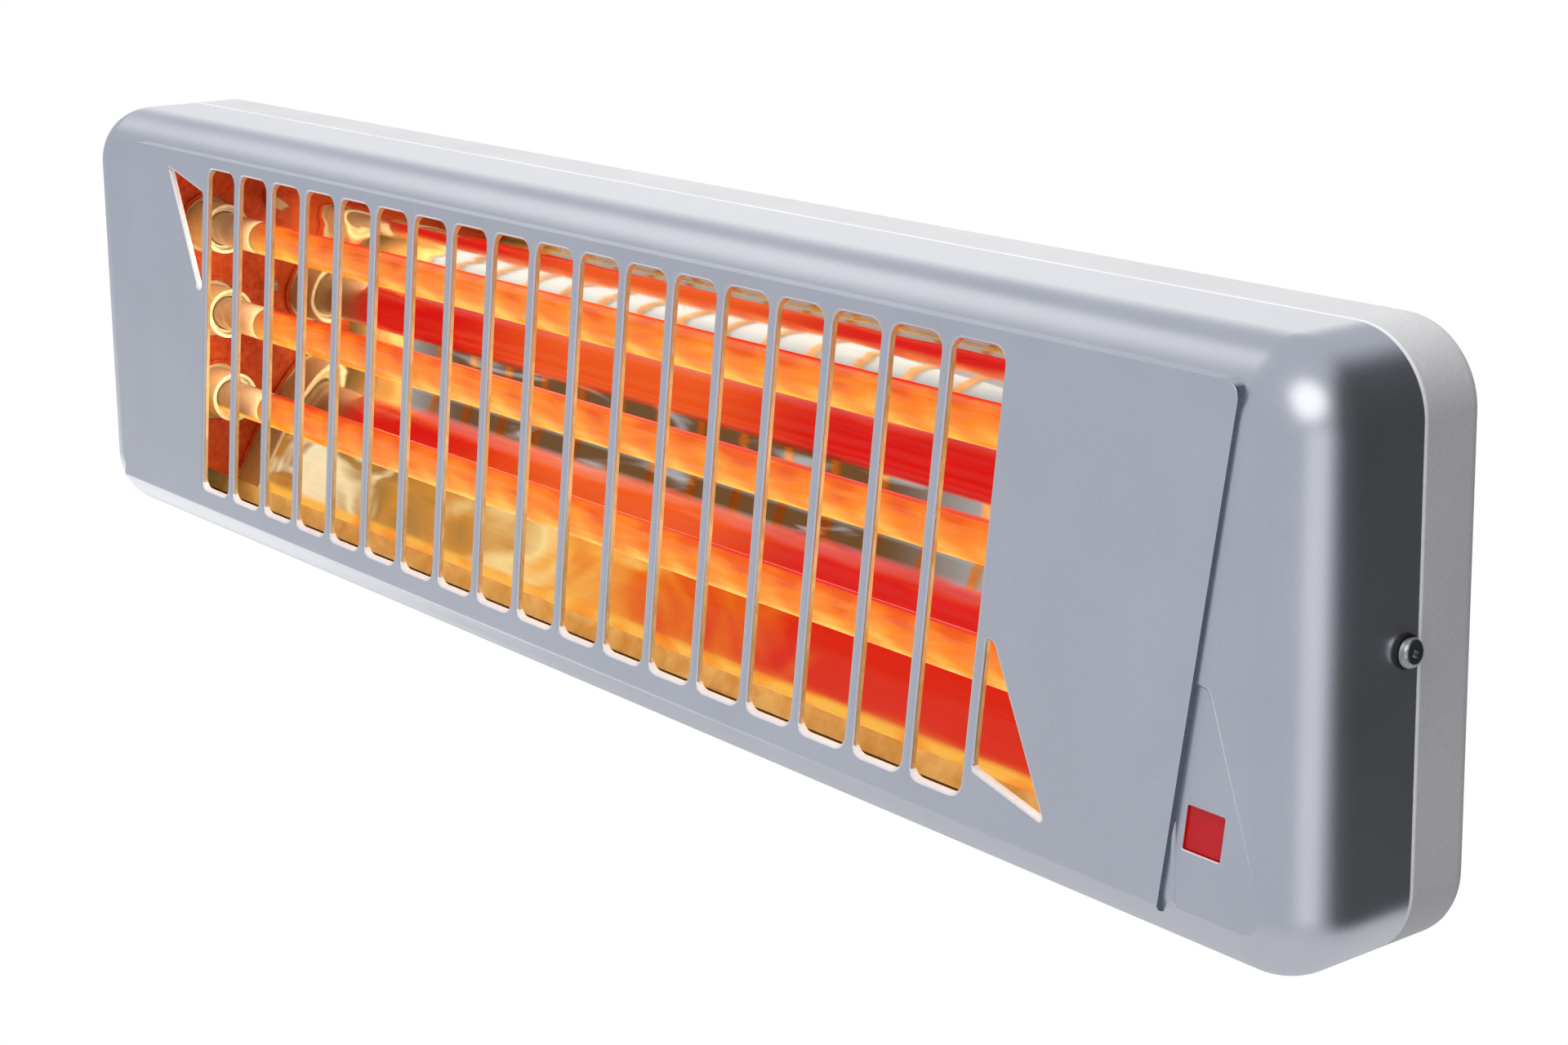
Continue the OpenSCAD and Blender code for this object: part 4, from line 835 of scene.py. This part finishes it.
def makeReflector():
    t = trough
    upper = troughSide(*t["upper"])
    lower = [(-y, z) for y, z in reversed(troughSide(*t["lower"]))]
    bm = bmesh.new()
    corners = [bm.verts.new((-t["half"], cover["axis"] + y, z)) for y, z in lower + upper]
    edges = [bm.edges.new(pair) for pair in zip(corners, corners[1:])]
    swept = bmesh.ops.extrude_edge_only(bm, edges=edges)
    bmesh.ops.translate(bm, vec=(2 * t["half"], 0, 0), verts=vertsOf(swept))
    bmesh.ops.recalc_face_normals(bm, faces=bm.faces)
    if sum(f.normal.z for f in bm.faces) < 0:  # the sheet's thickness goes away from the tubes
        bmesh.ops.reverse_faces(bm, faces=bm.faces)
    bmesh.ops.solidify(bm, geom=bm.faces[:], thickness=t["sheet"])
    finishPiece(bm, "reflectorTrough", [finishes["polished_aluminium"]],
                ["reflector"], 30)


makeReflector()
print("reflector")


# quartz tubes and their ceramic caps

tubes = {
    "rows": {"top": 35.5, "middle": 3.5, "bottom": -28.5}, "depth": 82.7, "half": 253,
    "outer": 6.0, "bore": 5.0, "chamfer": 0.4, "lengths": 16,
    # half section of a cap, as distance along x and radius
    "cap": [(268, 2.1), (268, 7.4), (267.4, 8), (260.4, 8), (260, 8.4), (260, 12.5), (259.5, 13), (256.5, 13),
            (256, 12.5), (256, 9.25), (240.7, 9.25), (240.2, 9.1), (240, 8.7), (240, 8.2), (240.3, 7.85),
            (242.3, 7.75), (242.5, 7.4), (242.5, 6.6), (242.8, 6.35), (253, 6.35), (253, 2.1)],
}


def makeTubes():
    t = tubes
    r, half, cut, count = t["outer"], t["half"], t["chamfer"], t["lengths"]
    section = [(-half, t["bore"]), (-half, r - cut), (-half + cut, r)]
    section += [(-half + (2 * half) * k / count, r) for k in range(1, count)]
    section += [(half - cut, r), (half, r - cut), (half, t["bore"])]
    for row, y in t["rows"].items():
        quartz = makeQuartz("milkyQuartz" + row.capitalize(), (0, -t["depth"] * mm, y * mm), row == "bottom")
        finishPiece(spinPiece(section, 64, y, t["depth"]), "quartzTube" + row.capitalize(), [quartz],
                    ["quartz_tube_" + row])
        for side in ("left", "right"):
            cap = spinPiece(t["cap"], 48, y, t["depth"], side == "left")
            finishPiece(cap, side + "Cap" + row.capitalize(), [finishes["steatite"]],
                        [side + "_cap_" + row])


makeTubes()


# light that the tubes throw on the inside of the cover and on the caps

glowLights = {
    # strips in front of the tubes: height, depth, turn from facing down to facing the cover at -90, watts
    "strips": [(19.5, 90, -90, 0.045), (-12.5, 90, -90, 0.045), (-56, 97, -30, 0.022)],
    "length": 470, "breadth": 9, "colour": (1.0, 0.84, 0.6),
    "capX": 212, "capDepth": 86, "capLength": 84, "capBreadth": 12, "capWatts": 0.045,
    "capColour": (1.0, 0.86, 0.62),
}


def addGlowLight(name, size, watts, colour, place, turn):
    data = bpy.data.lights.new(name, "AREA")
    data.shape = "RECTANGLE"
    data.size, data.size_y = size[0] * mm, size[1] * mm
    data.energy = watts
    data.color = colour
    obj = bpy.data.objects.new(name, data)
    obj.location = Vector(place) * mm
    obj.rotation_euler = [math.radians(a) for a in turn]
    obj.visible_camera = obj.visible_glossy = obj.visible_transmission = False
    bpy.context.scene.collection.objects.link(obj)
    obj.parent = frame["bodies"]["heater"]  # stays with the tubes when the heater tilts


def makeGlowLights():
    g = glowLights
    for k, (height, depth, turn, watts) in enumerate(g["strips"]):
        addGlowLight("tubeGlow" + str(k + 1), (g["length"], g["breadth"]), watts, g["colour"],
                     (0, -depth, height), (turn, 0, 0))
    for name, side in (("left", -1), ("right", 1)):
        addGlowLight(name + "CapGlow", (g["capBreadth"], g["capLength"]), g["capWatts"], g["capColour"],
                     (side * g["capX"], -g["capDepth"], cover["axis"]), (90, 0, -side * 90))


makeGlowLights()
print("tubes, caps and their glow")


# end screws

endScrew = {
    "face": 310.8, "head": 3.75, "height": 2.6, "shank": 1.95, "length": 8, "chamfer": 0.4,
    "rim": 0.9, "crown": 1.9, "crownSteps": 8,  # the head's straight rim, and how far in its crown rounds off
    "recess": 1.2, "recessDepth": 1.3, "lobe": 0.17,
    "washer": 4.3, "washerThick": 0.8, "hole": 2.1, "breakEdge": 0.15,
}


def makeEndScrews():
    e = endScrew
    x, head, rim, edge, sides, depth = e["face"], e["head"], e["rim"], e["breakEdge"], 48, cover["screwDepth"]
    top, tip = x + e["height"], x - e["length"]
    section = [(tip, 0), (tip, e["shank"] - e["chamfer"]), (tip + e["chamfer"], e["shank"]),
               (x, e["shank"]), (x, head - 0.1), (x + edge, head), (x + rim, head)]
    for k in range(1, e["crownSteps"] + 1):
        a = math.pi / 2 * k / e["crownSteps"]
        section.append((x + rim + (e["height"] - rim) * math.sin(a), head - e["crown"] * (1 - math.cos(a))))
    section.append((top, 0))
    back = x - e["washerThick"]
    washer = [(back, e["hole"]), (back, e["washer"]), (x - edge, e["washer"]), (x, e["washer"] - edge),
              (x, e["hole"])]
    screws, washers, recesses = bmesh.new(), bmesh.new(), bmesh.new()
    for mirrored, side in ((False, 1), (True, -1)):
        joinInto(screws, spinPiece(section, sides, cover["axis"], depth, mirrored))
        joinInto(washers, spinPiece(washer, sides, cover["axis"], depth, mirrored))
        # a six-lobed driver recess, turned by half a side so that its corners miss the edges of the head
        socket = addRod(recesses, e["recess"], 2 * e["recessDepth"], (0, 0, 0), segments=sides)["verts"]
        for v in socket:
            wave = 1 + e["lobe"] * math.cos(6 * math.atan2(v.co.y, v.co.x))
            v.co.x, v.co.y = v.co.x * wave, v.co.y * wave
        place = Matrix.Translation((side * top, cover["axis"], depth))
        turn = Matrix.Rotation(math.radians(90), 4, "Y") @ Matrix.Rotation(math.pi / sides, 4, "Z")
        bmesh.ops.transform(recesses, verts=socket, matrix=place @ turn)
    heads = workObject(screws, "heads")
    combine(heads, workObject(recesses, "recesses"), "DIFFERENCE")
    finishPiece(heads, "endScrewPair", [finishes["stainless_steel"]], ["end_screws"])
    finishPiece(washers, "endWasherPair", [finishes["dark_fibre"]], ["end_screw_washers"])


makeEndScrews()
print("end screws")
